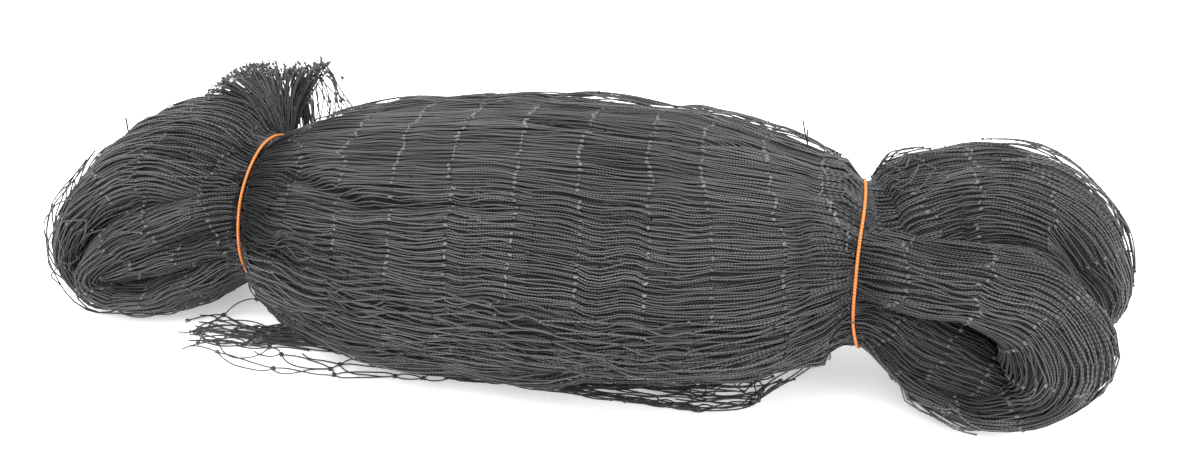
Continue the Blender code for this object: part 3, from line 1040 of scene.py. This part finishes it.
# odd loose meshes over some of the bundles: the share of a turn that they span, then as above,
# and how far they stand off
looseColumns = ("bundle", "turns", "strands", "start", "end", "bar", "lift")
loosePlans = [
    ("body", (0.62, 0.73), 18, 46.0, 290.0, 25.6, 2.2),
    ("body", (-0.03, 0.15), 36, 24.0, 290.0, 25.6, 0.9),
    ("right_front", (0.50, 0.93), 26, 90.0, 166.0, 24.0, 1.1),
    ("right_front", (0.80, 1.02), 14, 140.0, 214.0, 18.0, 1.4),
    ("right_back", (0.50, 0.88), 26, 20.0, 46.0, 24.0, 1.8),
    ("right_back", (0.50, 0.80), 20, 68.0, 118.0, 24.0, 1.5),
    ("right_back", (0.50, 0.80), 12, 118.0, 180.0, 24.0, 0.9),
    ("left_outer", (0.02, 0.50), 32, 30.0, 250.0, 24.0, 0.7),
    ("left_outer", (-0.05, 0.24), 14, 88.0, 202.0, 16.0, 2.8),
    ("left_inner", (0.00, 0.30), 10, 60.0, 190.0, 24.0, 0.7),
]
looseStyle = {
    "thicker": 1.15,       # than the twine that lies close
    "endRadius": 0.42,
    "length": 240.0,       # of the bundle that the loose meshes lie along
}
unevenLift = {"body": 0.35, "fold": 0.5, "loose": 0.9}


def netPiece(name, net, rng, layer):
    arrays = []
    for near in (True, False):
        part = netSide(net, near)
        if len(part["points"]):
            sides = layer["sides"] if near else 3
            lines, normals = part["points"], part["normals"]
            arrays.append(tubeArrays(lines, normals, twineRadius, sides, part["length"], part["tone"]))
            if layer["knots"] and len(part["knots"]):
                arrays.append(knotArrays(part, rng, near, 1.0))
    item = makePiece(name, joined(arrays), netMaterial)


seed = 11
for name, row in netPlans.items():
    for layerName, layer in layers.items():
        seed += 1
        plan = dict(zip(netColumns, row))
        plan.update(layer)
        plan["lift"] = -layer["inward"]
        plan["start"] += layer["inward"] * 6
        plan["unevenLift"] = unevenLift["body" if name == "body" else "fold"]
        net = layNet(skins[name], plan, bodyZone if name == "body" else foldZone, seed)
        net = trimNet(net, treesBeside(name))
        rng = np.random.default_rng(seed)
        if name != "body":
            netPiece("net_" + name + "_" + layerName, net, rng, layer)
        elif layerName == "outer":
            netPiece("net_body_near", netSide(net, True), rng, layer)
            netPiece("net_body_far", netSide(net, False), rng, layer)
        else:
            netPiece("net_body_inner", netSide(net, True), rng, layer)

looseArrays = {"middle": [], "folds": []}
looseStrands = {"middle": [], "folds": []}
for row in loosePlans:
    seed += 1
    plan = dict(zip(looseColumns, row))
    plan.update({"inward": 0.0, "steps": 6, "unevenLift": unevenLift["loose"], "open": True})
    bundle = plan["bundle"]
    net = trimNet(layNet(skins[bundle], plan, looseZone, seed), treesBeside(bundle), 0.5)
    place = "middle" if bundle == "body" else "folds"
    radius = twineRadius * looseStyle["thicker"]
    looseArrays[place] += [
        tubeArrays(net["points"], net["normals"], radius, 4, net["length"], net["tone"]),
        knotArrays(net, np.random.default_rng(seed), True, 1.0),
    ]
    looseStrands[place].append(net["points"])
# ends of twine that stand off the rest
looseEnds = {
    "middle": [
        [(103.3, 20, 103), (101.7, 20, 108.3), (100.8, 20, 112.7)],
        [(103.6, 20, 101.5), (103, 20, 106), (103, 20, 109.5)],
    ],
    "folds": [[(-226, 20, 70.5), (-225.8, 20, 74.7), (-225.6, 20, 80.5)]],
}
for place, ends in looseEnds.items():
    lines = curveThrough(ends, 8)
    looseArrays[place].append(strandArrays(lines, looseStyle["endRadius"], 4, 1.0))
    looseStrands[place].append(lines)
    item = makePiece("net_loose_" + place, joined(looseArrays[place]), netMaterial)

# the imported inner turns that show dark between the strands, black net painted darker still as painted shade
coreInset = 2.4
coreParts = []
for name in list(foldRows) + ["body"]:
    if name == "body":
        skin = makeSkin(name, bodyRows[1:-2], coreInset, *coreGrid["body"])
    else:
        skin = makeSkin(name, foldRows[name], coreInset, *coreGrid["fold"])
    grid = pressOnFloor(gatherAtTies(skin["grid"], skin["normal"], coreInset), 1.0)
    rings, sides = grid.shape[:2]
    points = np.concatenate([grid.reshape(-1, 3), grid[:1].mean(axis=1), grid[-1:].mean(axis=1)])
    quads = ringFaces(rings, sides)
    triangles = tipFaces(rings, sides, 0, (rings * sides, rings * sides + 1))
    corners = quads.size + triangles.size
    coreParts.append({
        "points": points,
        "quads": quads,
        "triangles": triangles,
        "lengthwise": np.zeros(corners),
        "around": np.zeros(corners),
        "tone": np.ones(len(points)),
    })
core = makePiece("hank_core", joined(coreParts), innerMaterial, "hank")

# the gathered end fans up behind the left tie, each strand one bar long with a knot at its tip
tuft = {
    "foot": (-146.5, 29.0, 77.0),
    "strands": 340,
    "footWide": 6.0,
    "backLean": 9.0,
    "deep": 5.0,
    "radius": 0.30,
    "tails": 60,           # short cut ends
    "lanes": 8,            # of the meshes that hang over to the right
    "close": 44,           # strands that hang close together beside the fan
    "length": 36.0,
}
# x and z of the tips, round from the left
tuftTips = [
    (-191, 88), (-186, 93), (-179, 99), (-172, 103.5), (-164, 107),
    (-154, 107.5), (-141, 107.5), (-131, 109), (-125, 110),
]
# x and z of the first and the last knot in each row of the meshes that hang
tuftRows = [
    ((-137, 109), (-122, 110)),
    ((-134, 102.5), (-119, 102.5)),
    ((-133.5, 92), (-114, 95)),
    ((-134.5, 78), (-110, 88)),
]
# the strand furthest to the right
tuftOuter = [
    (-124, 38, 110), (-121, 38, 105.5), (-119, 38, 100), (-116, 38, 95), (-112, 38, 89), (-109, 38, 84),
]


def smallKnots(places, headings, size, rng):
    net = {
        "knots": places,
        "knotAlong": unit(headings + 1e-6),
        "knotNormals": np.tile([0.1, -1.0, 0.3], (len(places), 1)),
    }
    return knotArrays(net, rng, True, size)


def makeTuft():
    rng = np.random.default_rng(71)
    count = tuft["strands"]
    foot = np.array(tuft["foot"])
    radius = tuft["radius"]
    share = np.sort(rng.random(count)) ** 0.9
    marks = np.linspace(0, 1, len(tuftTips))
    deep = rng.uniform(-1, 1, count)
    footX = foot[0] + tuft["footWide"] * (2 * share - 1)
    reachX = np.interp(share, marks, [tip[0] for tip in tuftTips]) - footX
    reachZ = np.interp(share, marks, [tip[1] for tip in tuftTips]) - foot[2]
    shorter = 1 - 0.20 * rng.random(count) ** 1.5
    reachX, reachZ = reachX * shorter, reachZ * shorter
    lean = reachX / np.hypot(reachX, reachZ)
    bend = rng.standard_normal((3, count))
    guides = []
    for t in (0.0, 0.2, 0.4, 0.62, 0.85, 1.0):
        arch = math.sin(math.pi * t)
        bowed = -0.16 * lean * arch
        x = footX + reachX * t + bowed * reachZ + 0.8 * bend[0] * arch + 0.7 * bend[1] * t
        x = x + 0.5 * bend[2] * math.sin(2 * math.pi * t)
        y = foot[1] + tuft["backLean"] * t + tuft["deep"] * deep * (0.45 + 0.75 * t) + 0.8 * bend[1] * arch
        z = foot[2] + reachZ * t - bowed * reachX
        guides.append(np.stack([x, y, z], axis=1))
    lines = curveThrough(np.stack(guides, axis=1), 11)
    tips = lines[:, -1]
    strands = [lines]
    parts = [strandArrays(lines, radius, 3, 1.7 + 0.45 * rng.standard_normal(count))]
    parts.append(smallKnots(tips, tips - lines[:, -3], 0.82, rng))

    # a few arcs of net still join neighbouring tips
    pairs = [(i, i + step) for i in range(count) for step in (1, 2, 3) if i + step < count]
    pairs = [(a, b) for a, b in pairs if np.linalg.norm(tips[a] - tips[b]) < 6.0 and rng.random() < 0.3]
    first, second = (tips[list(ends)] for ends in zip(*pairs))
    middle = (first + second) / 2
    joins = len(first)
    bulged = (0.4 + 1.8 * rng.random((joins, 1))) * np.where(rng.random((joins, 1)) < 0.7, 1.0, -1.2)
    away = unit(middle - foot) * bulged
    aside = 0.7 * rng.standard_normal((joins, 3))
    guides = np.stack([
        first,
        first * 0.75 + second * 0.25 + away * 0.8 + aside * 0.5,
        middle + away + aside,
        first * 0.25 + second * 0.75 + away * 0.8 + aside * 0.4,
        second,
    ], axis=1)
    strands.append(curveThrough(guides, 8))
    parts.append(strandArrays(strands[-1], radius, 3, 1.1 + 0.25 * rng.standard_normal(joins)))

    # short cut tails stand out from some of the tips
    tails = tuft["tails"]
    start = tips[rng.choice(count, tails, replace=False)]
    out = unit(start - foot) + 0.6 * rng.standard_normal((tails, 3))
    tail = (1.0 + 2.2 * rng.random((tails, 1))) * unit(out)
    halfway = start + 0.5 * tail + 0.3 * rng.standard_normal((tails, 3))
    guides = np.stack([start, halfway, start + tail], axis=1)
    tone = 1.2 + 0.2 * rng.standard_normal(tails)
    parts.append(strandArrays(curveThrough(guides, 6), radius * 0.9, 3, tone))

    # meshes that tip over to the right and hang down behind the middle, open enough to see between
    lanes = tuft["lanes"]
    knots = np.empty((len(tuftRows), lanes, 3))
    for row, (left, right) in enumerate(tuftRows):
        place = (np.arange(lanes) + 0.5 * (row % 2)) / (lanes - 0.5) + 0.03 * rng.standard_normal(lanes)
        knots[row, :, 0] = left[0] + (right[0] - left[0]) * place
        knots[row, :, 2] = left[1] + (right[1] - left[1]) * place + 1.2 * rng.standard_normal(lanes)
        knots[row, :, 1] = foot[1] + 9 + 2.0 * rng.standard_normal(lanes)
    starts, ends = [], []
    for row in range(len(tuftRows) - 1):
        for lane in range(lanes):
            for to in (lane, lane + (1 if row % 2 else -1)):
                if 0 <= to < lanes:
                    starts.append(knots[row, lane])
                    ends.append(knots[row + 1, to])
    # and some that hang close together beside the fan
    close = tuft["close"]
    top = [rng.uniform(-142, -133, close), foot[1] + 7 + 2 * rng.standard_normal(close)]
    top = np.stack(top + [99 + 4 * rng.standard_normal(close)], axis=1)
    fall = np.stack([rng.standard_normal(close), np.zeros(close), -23 + rng.standard_normal(close)], axis=1)
    starts = np.concatenate([starts, top])
    ends = np.concatenate([ends, top + fall])
    count = len(starts)
    bowed = np.array([0.7, 0.4, 0.0]) * rng.standard_normal((count, 1))
    guides = np.stack([
        starts,
        starts * 0.8 + ends * 0.2 + bowed * 0.7,
        (starts + ends) / 2 + bowed,
        starts * 0.2 + ends * 0.8 + bowed * 0.7,
        ends,
    ], axis=1)
    strands.append(curveThrough(guides, 9))
    parts.append(strandArrays(strands[-1], radius, 4, 1.0 + 0.2 * rng.standard_normal(count)))
    flat = knots.reshape(-1, 3)
    parts.append(smallKnots(flat, np.tile([0.2, 0.0, -1.0], (len(flat), 1)), 1.15, rng))
    strands.append(curveThrough([tuftOuter], 16))
    parts.append(strandArrays(strands[-1], radius, 4, 1.0))
    return joined(parts), strands


tuftArrays, tuftStrands = makeTuft()
item = makePiece("gathered_end_strands", tuftArrays, netMaterial, "gathered_end")

# the loose edge lies open along the front: a near line and a far line on the surface, x and y
# columns of knots run from one to the other, frayed at the left
edgeNets = {
    "front": {
        "near": [(-37, -43), (-12, -40.5), (12, -39.5), (28, -40.5), (45, -41.5), (60, -40.5), (71, -39.5)],
        "far": [(-37, -39.5), (-12, -38.5), (12, -37), (28, -37.5), (45, -38), (60, -37), (70, -36)],
        "columns": 6, "rows": 3, "height": 0.7, "rise": 1.0,
        "along": 4.0, "across": 0.4, "bow": 1.2, "frayed": 0.0,
    },
    "lens": {
        "near": [
            (-6, -39.5), (12, -39), (30, -40), (48, -40.5), (66, -40), (78, -37.5), (92, -29), (103, -15),
        ],
        "far": [(-6, -37), (12, -35), (30, -30), (48, -27), (64, -25), (76, -22), (88, -16), (99, -6)],
        "columns": 8, "rows": 5, "height": 0.9, "rise": 3.0,
        "along": 5.0, "across": 0.7, "bow": 1.3, "frayed": 0.0,
    },
    "open": {
        "near": [(-161, -44), (-136, -42), (-112, -38)],
        "far": [(-160, -24), (-137, -27), (-114, -20)],
        "columns": 3, "rows": 9, "height": 0.7, "rise": 2.0,
        "along": 4.0, "across": 0.9, "bow": 1.6, "frayed": 11.0,
    },
    "pile": {
        "near": [
            (-137, -38.5), (-125, -38.5), (-112, -37.5), (-97, -37), (-80, -40), (-63, -40.5), (-45, -39.5),
        ],
        "far": [(-134, -27), (-122, -18), (-110, -14), (-95, -14), (-80, -20), (-63, -26), (-45, -30)],
        "columns": 6, "rows": 18, "height": 0.7, "rise": 4.0,
        "along": 5.0, "across": 0.9, "bow": 0.9, "frayed": 7.0,
    },
    "under": {
        "near": [(-40, -40), (-14, -38.5), (12, -36), (38, -31), (60, -28), (76, -23), (90, -15), (100, -5)],
        "far": [(-40, -32), (-14, -31), (12, -29), (38, -26), (58, -22), (70, -16), (80, -8), (88, 2)],
        "columns": 8, "rows": 5, "height": 0.6, "rise": 1.8,
        "along": 6.0, "across": 0.6, "bow": 1.0, "frayed": 0.0,
    },
}
upwards = np.array([0.0, 0.0, 1.0])


# evenly spaced places along a line of points
def placesAlong(points, count):
    wanted = np.linspace(0, 1, count)
    marks = np.linspace(0, 1, len(points))
    return np.stack([np.interp(wanted, marks, values) for values in zip(*points)], axis=1)


# lays an open net on the surface between its near line and its far line
def layOnFloor(plan, rng):
    columns, rows = plan["columns"], plan["rows"]
    near = placesAlong(plan["near"], columns)
    far = placesAlong(plan["far"], columns)
    share = (2 * np.arange(rows)[None, :] + (np.arange(columns)[:, None] % 2)) / (2 * rows)
    share = np.clip(share + 0.3 * rng.standard_normal((columns, rows)) / rows, 0, 1)
    knots = np.empty((columns, rows, 3))
    knots[..., :2] = near[:, None] * (1 - share[..., None]) + far[:, None] * share[..., None]
    knots[..., 0] += plan["along"] * rng.standard_normal((columns, rows))
    knots[..., 1] += plan["across"] * rng.standard_normal((columns, rows))
    knots[..., 2] = plan["height"] + plan["rise"] * rng.random((columns, rows)) * share**0.5
    starts, ends, sides = [], [], []
    for column in range(columns - 1):
        side = 1 if column % 2 == 0 else -1
        for row in range(rows):
            other = row - side
            starts += [knots[column, row]] * 2
            ends += [knots[column + 1, row], knots[column + 1, other if 0 <= other < rows else row]]
            sides += [side, -side]
    starts, ends, sides = np.array(starts), np.array(ends), np.array(sides)[:, None]
    aside = np.cross(upwards, unit(ends - starts))
    count = len(starts)
    bow = sides * plan["bow"] * (0.7 + 0.5 * rng.random((count, 1)))
    bow = bow + 0.25 * plan["bow"] * rng.standard_normal((count, 1))
    wave = rng.standard_normal((3, count, 1))
    guides = []
    for t in (0.0, 0.1, 0.3, 0.5, 0.7, 0.9, 1.0):
        swell = math.sin(math.pi * t) ** 0.7 if 0 < t < 1 else 0.0
        waved = bow * swell + 0.45 * wave[0] * math.sin(2 * math.pi * t)
        waved = waved + 0.2 * wave[1] * math.sin(3 * math.pi * t)
        guides.append(starts * (1 - t) + ends * t + aside * waved + upwards * swell * 0.5 * np.abs(wave[2]))
    strands = [curveThrough(np.stack(guides, axis=1), 11)]
    parts = [strandArrays(strands[0], twineRadius, 4, 1.0 + 0.2 * rng.standard_normal(count))]
    flat = knots.reshape(-1, 3)
    heading = np.array([1.0, 0.0, 0.0]) + 0.3 * rng.standard_normal((len(flat), 3)) * np.array([1, 1, 0.2])
    net = {
        "knots": flat + 0.15 * upwards,
        "knotNormals": np.tile(upwards, (len(flat), 1)),
        "knotAlong": unit(heading),
    }
    parts.append(knotArrays(net, rng, True, 1.05))
    if plan["frayed"]:
        # cut ends stick out past the first column, two from each knot
        first = np.repeat(knots[0], 2, axis=0)
        count = len(first)
        reach = plan["frayed"] * (0.45 + 0.75 * rng.random((count, 1)))
        heading = [-np.ones(count), -0.35 + 0.40 * rng.standard_normal(count)]
        heading = unit(np.stack(heading + [0.10 * np.abs(rng.standard_normal(count))], axis=1))
        turned = np.cross(heading, upwards) * (0.8 + 0.9 * rng.standard_normal((count, 1)))
        guides = [first, first + 0.5 * reach * heading + 0.9 * turned, first + reach * heading - 0.6 * turned]
        strands.append(curveThrough(np.stack(guides, axis=1), 8))
        parts.append(strandArrays(strands[1], twineRadius, 4, 1.0 + 0.2 * rng.standard_normal(count)))
    return parts, strands


# open meshes along the front of the edge, from knot to knot: x and y of the points on each strand
openMeshes = [
    [(-165, -48.6), (-158.5, -47.4), (-149.6, -49.6)],
    [(-149.6, -49.6), (-144, -53.8), (-137, -56.6), (-127, -57.9), (-121, -57.6), (-118.8, -54.9)],
    [(-149.6, -49.6), (-143, -50.6), (-136, -51.7), (-126, -54), (-118.8, -54.9)],
    [(-118.8, -54.9), (-116.5, -57.2), (-112, -57.7), (-107, -55.2), (-102, -51.8), (-93.4, -49.2)],
    [(-118.8, -54.9), (-113, -53.3), (-104.5, -54.2), (-97.7, -54.8), (-90.1, -53.1)],
    [(-93.4, -49.2), (-91.4, -51), (-90.1, -53.1)],
    [(-93.4, -49.2), (-92.6, -47), (-91, -45.1)],
    [(-90.1, -53.1), (-87, -50.6), (-81, -48.8), (-73, -46.6), (-67, -45.9), (-63.2, -47.4)],
    [(-90.1, -53.1), (-86, -54), (-79, -52.2), (-72, -50.4), (-63.2, -47.4)],
    [(-91, -45.1), (-87.5, -48.4), (-82, -49.9), (-75, -49.8), (-68, -49), (-63.2, -47.4)],
    [(-91, -45.1), (-88, -40.6), (-80, -38.2), (-71, -37.6), (-65, -38.6)],
    [(-91, -45.1), (-86, -43.9), (-77, -43.3), (-70, -42), (-65, -38.6)],
    [(-63.2, -47.4), (-60.5, -45.4), (-56, -44.8), (-50.6, -45.9)],
    [(-63.2, -47.4), (-59.5, -48.4), (-55, -47.8), (-50.6, -45.9)],
    [(-50.6, -45.9), (-48.2, -40.5), (-44.8, -36.8), (-40.5, -37), (-37.7, -40)],
    [(-50.6, -45.9), (-46, -46.6), (-41, -44.6), (-37.7, -40)],
    [(-37.7, -40), (-34, -38.6), (-30, -38.8), (-26, -40.2), (-20, -40.4), (-12, -39)],
    [(-37.7, -40), (-36, -43.4), (-31, -43.6), (-26, -41.6), (-18, -42), (-12, -39)],
    [(-167.8, -44.9), (-160, -42.6), (-152.9, -43.1)],
    [(-152.9, -43.1), (-147, -48.6), (-140, -51.6), (-133, -49.6), (-129.4, -45), (-128.5, -40)],
    [(-152.9, -43.1), (-146, -41.4), (-141, -42.8), (-134, -42.6), (-128.5, -40)],
    [(-128.5, -40), (-124, -41), (-120.4, -44.1)],
    [(-134, -44.6), (-130, -46.6), (-124, -46.8), (-120.4, -44.1)],
    [(-120.4, -44.1), (-116, -48.4), (-110, -50.8), (-102, -51), (-93.4, -49.2)],
    [(-120.4, -44.1), (-112, -43.8), (-104, -45.8), (-98, -47.2), (-93.4, -49.2)],
    [(-112, -41), (-106, -44.4), (-99, -44.2), (-91, -45.1)],
    [(71, -39.3), (79.3, -37.7), (88, -34.2), (93.6, -29.6), (95.2, -25.9)],
    [(71, -39.3), (78, -36), (86, -32.4), (92, -29), (95.2, -25.9)],
    [(62, -36.5), (68, -33.6), (77, -29), (88, -25), (95.2, -25.9)],
    [(60, -34), (69, -33), (75, -31.6), (84, -27.6), (95.2, -25.9)],
    [(95.2, -25.9), (101, -16.5), (108, -6.8), (112.5, 0.6), (117, 8)],
    [(95.2, -25.9), (98, -20), (104, -10.5), (110, -1), (114, 8)],
    [(95.2, -25.9), (95, -19), (100, -9), (107, 1), (111, 8)],
]
# strands that have slipped out of it, some of them up to the left tie: x, y, z
strayStrands = [
    [(121, -37.5, 52), (127, -33.6, 51), (131, -31.9, 50.2), (135, -30.5, 49.6), (142, -33, 48)],
    [(-148, -31.5, 38), (-144, -33.2, 38.9), (-140, -33.7, 39.5), (-136, -36.6, 39.7), (-130, -42, 39)],
    [
        (-162.7, -20.8, 1.0), (-158.2, -20.6, 5.7), (-152.9, -20.6, 9.7),
        (-147.8, -20.5, 12.0), (-143.5, -20.5, 12.9),
    ],
    [(-143.5, -20.5, 12.9), (-134, -25, 17.6), (-125, -29.5, 22.5), (-117, -38, 29.0)],
    [(-143.5, -20.5, 12.9), (-145.6, -20.7, 16.4), (-146.3, -21, 20.1), (-146, -21, 25.0)],
    [(-143.5, -20.5, 12.9), (-142.8, -20.6, 17.0), (-142.4, -20.8, 21.0), (-141.5, -20.4, 25.0)],
    [(-143.5, -20.5, 12.9), (-141.2, -20.8, 17.0), (-139.3, -21, 21.0), (-137, -20, 25.0)],
    [(-143.5, -20.5, 12.9), (-138.7, -21, 9.8), (-134, -21.2, 3.4), (-130, -22, 1.0)],
    [(-143.5, -20.5, 12.9), (-137.6, -20, 10.6), (-132.8, -20, 4.4), (-127.5, -22, 1.4)],
    [(-177.3, -29, 0.8), (-172, -25.5, 1.4), (-167, -22, 1.2), (-162.7, -20.8, 1.0)],
    [(-162.7, -20.8, 1.0), (-156, -24.2, 1.6), (-148, -26.6, 1.2), (-142.5, -26.5, 1.0)],
    [(-162.7, -20.8, 1.2), (-154, -26, 1.8), (-146, -28.4, 1.4), (-138, -28.5, 1.6)],
    [(-169.4, -36.5, 0.7), (-168.5, -31.4, 0.9), (-164.5, -26.4, 1.1), (-162.7, -20.8, 1.0)],
    [(-162.5, -44.8, 0.7), (-163.6, -37, 1.3), (-164.4, -29, 1.5), (-162.7, -20.8, 1.2)],
]


def makeLooseEdge():
    rng = np.random.default_rng(83)
    parts = []
    strands = []
    for plan in edgeNets.values():
        made, lines = layOnFloor(plan, rng)
        parts += made
        strands += lines
    # each open strand ends in a knot, and each stray one starts from one
    guides = []
    places = []
    headings = []
    for points in openMeshes:
        height = 0.7 + 0.5 * rng.random(len(points))
        guides.append(np.column_stack([points, height]))
        places.append(guides[-1][-1])
        headings.append(guides[-1][-1] - guides[-1][-2])
    for points in strayStrands:
        guides.append(np.array(points, float))
        places.append(guides[-1][0])
        headings.append(guides[-1][1] - guides[-1][0])
    for points in guides:
        strands.append(curveThrough([points], 18))
        parts.append(strandArrays(strands[-1], twineRadius, 5, 1.0))
    parts.append(wrapArrays(np.array(places), np.array(headings), rng))
    made = joined(parts)
    made["points"][:, 2] = np.maximum(made["points"][:, 2], 0.05)
    return made, strands


edgeArrays, edgeStrands = makeLooseEdge()
item = makePiece("loose_edge_meshes", edgeArrays, netMaterial, "loose_edge")

# a tie is three plies of cord twisted together
tieStyle = {
    "plies": 3,
    "pitch": 2.5,
    "plyRadius": 0.37,
    "plyAway": 0.36,
    "marks": 760,          # points along each ply
    "knotFrom": -25.0,     # degrees up from the far side, where its ends are knotted
    "knotRadius": 0.5,
}


def makeTie(tie):
    marks = tieStyle["marks"]
    turn = np.linspace(0.0, 2 * math.pi, marks) + math.radians(tieStyle["knotFrom"])
    wide, high = tie["halfWidth"], tie["halfHeight"]
    waver = 0.12 * np.sin(3 * turn + 1.0) + 0.08 * np.sin(7 * turn)
    waver = waver + tieStrays(tie, 180 - np.degrees(turn))
    middle = np.stack([waver, np.cos(turn) * wide, np.sin(turn) * high], axis=1)
    outward = unit(np.stack([np.zeros(marks), np.cos(turn) * high, np.sin(turn) * wide], axis=1))
    length = distanceAlong(middle)
    lines = []
    normals = []
    for ply in range(tieStyle["plies"]):
        phase = 2 * math.pi * (length / tieStyle["pitch"] + ply / tieStyle["plies"])
        off = outward * np.cos(phase)[:, None] + np.array([1.0, 0.0, 0.0]) * np.sin(phase)[:, None]
        lines.append(middle + off * tieStyle["plyAway"])
        normals.append(off)
    # an overhand knot closes it on the far side
    t = np.linspace(0.0, 2 * math.pi, 60)
    knot = [-0.7 * np.sin(3 * t), 0.5 * np.cos(t) + np.cos(2 * t), 0.5 * np.sin(t) - np.sin(2 * t)]
    knot = np.stack(knot, axis=1) + middle[0] + outward[0] * 0.8
    axes = tieAxes(tie)
    place = np.array(tie["at"])
    lines = np.stack(lines) @ axes.T + place
    normals = np.stack(normals) @ axes.T
    return joined([
        tubeArrays(lines, normals, tieStyle["plyRadius"], 5, length[None, :], 1.0),
        strandArrays((knot @ axes.T + place)[None], tieStyle["knotRadius"], 6, 1.0),
    ])


for name, tie in ties.items():
    makePiece(name + "_cord", makeTie(tie), tieMaterial, name)

# the floor is a pale sheet that is lit a little from beneath
studio = {
    "floor": (0.92, 0.92, 0.92, 1.0),
    "floorGlow": 0.35,
    "floorReach": 4.0,
    "sky": 1.8,
    "lamps": {
        "above": {"at": (-0.25, -0.35, 0.95), "size": 0.9, "power": 16.0},
        "side": {"at": (0.9, -0.5, 0.5), "size": 0.6, "power": 6.0},
    },
}
white = (1.0, 1.0, 1.0, 1.0)
floorMaterial, tree, surface = newMaterial("floor", 0.9, 0.5)
surface.inputs["Base Color"].default_value = studio["floor"]
surface.inputs["Emission Color"].default_value = white
surface.inputs["Emission Strength"].default_value = studio["floorGlow"]
reach = studio["floorReach"]
floorMesh = bpy.data.meshes.new("floor")
floorCorners = [(-reach, -reach, 0), (reach, -reach, 0), (reach, reach, 0), (-reach, reach, 0)]
floorMesh.from_pydata(floorCorners, [], [(0, 1, 2, 3)])
floorMesh.materials.append(floorMaterial)
floor = bpy.data.objects.new("floor", floorMesh)
bpy.context.scene.collection.objects.link(floor)

world = bpy.data.worlds.new("studio")
world.use_nodes = True
world.node_tree.nodes["Background"].inputs["Color"].default_value = white
world.node_tree.nodes["Background"].inputs["Strength"].default_value = studio["sky"]
bpy.context.scene.world = world
for name, lamp in studio["lamps"].items():
    light = bpy.data.lights.new(name, "AREA")
    light.size = lamp["size"]
    light.energy = lamp["power"]
    item = bpy.data.objects.new(name, light)
    item.location = lamp["at"]
    item.rotation_euler = Vector(lamp["at"]).to_track_quat("Z", "Y").to_euler()
    bpy.context.scene.collection.objects.link(item)
bpy.context.scene.view_settings.view_transform = "Standard"
print("studio made")
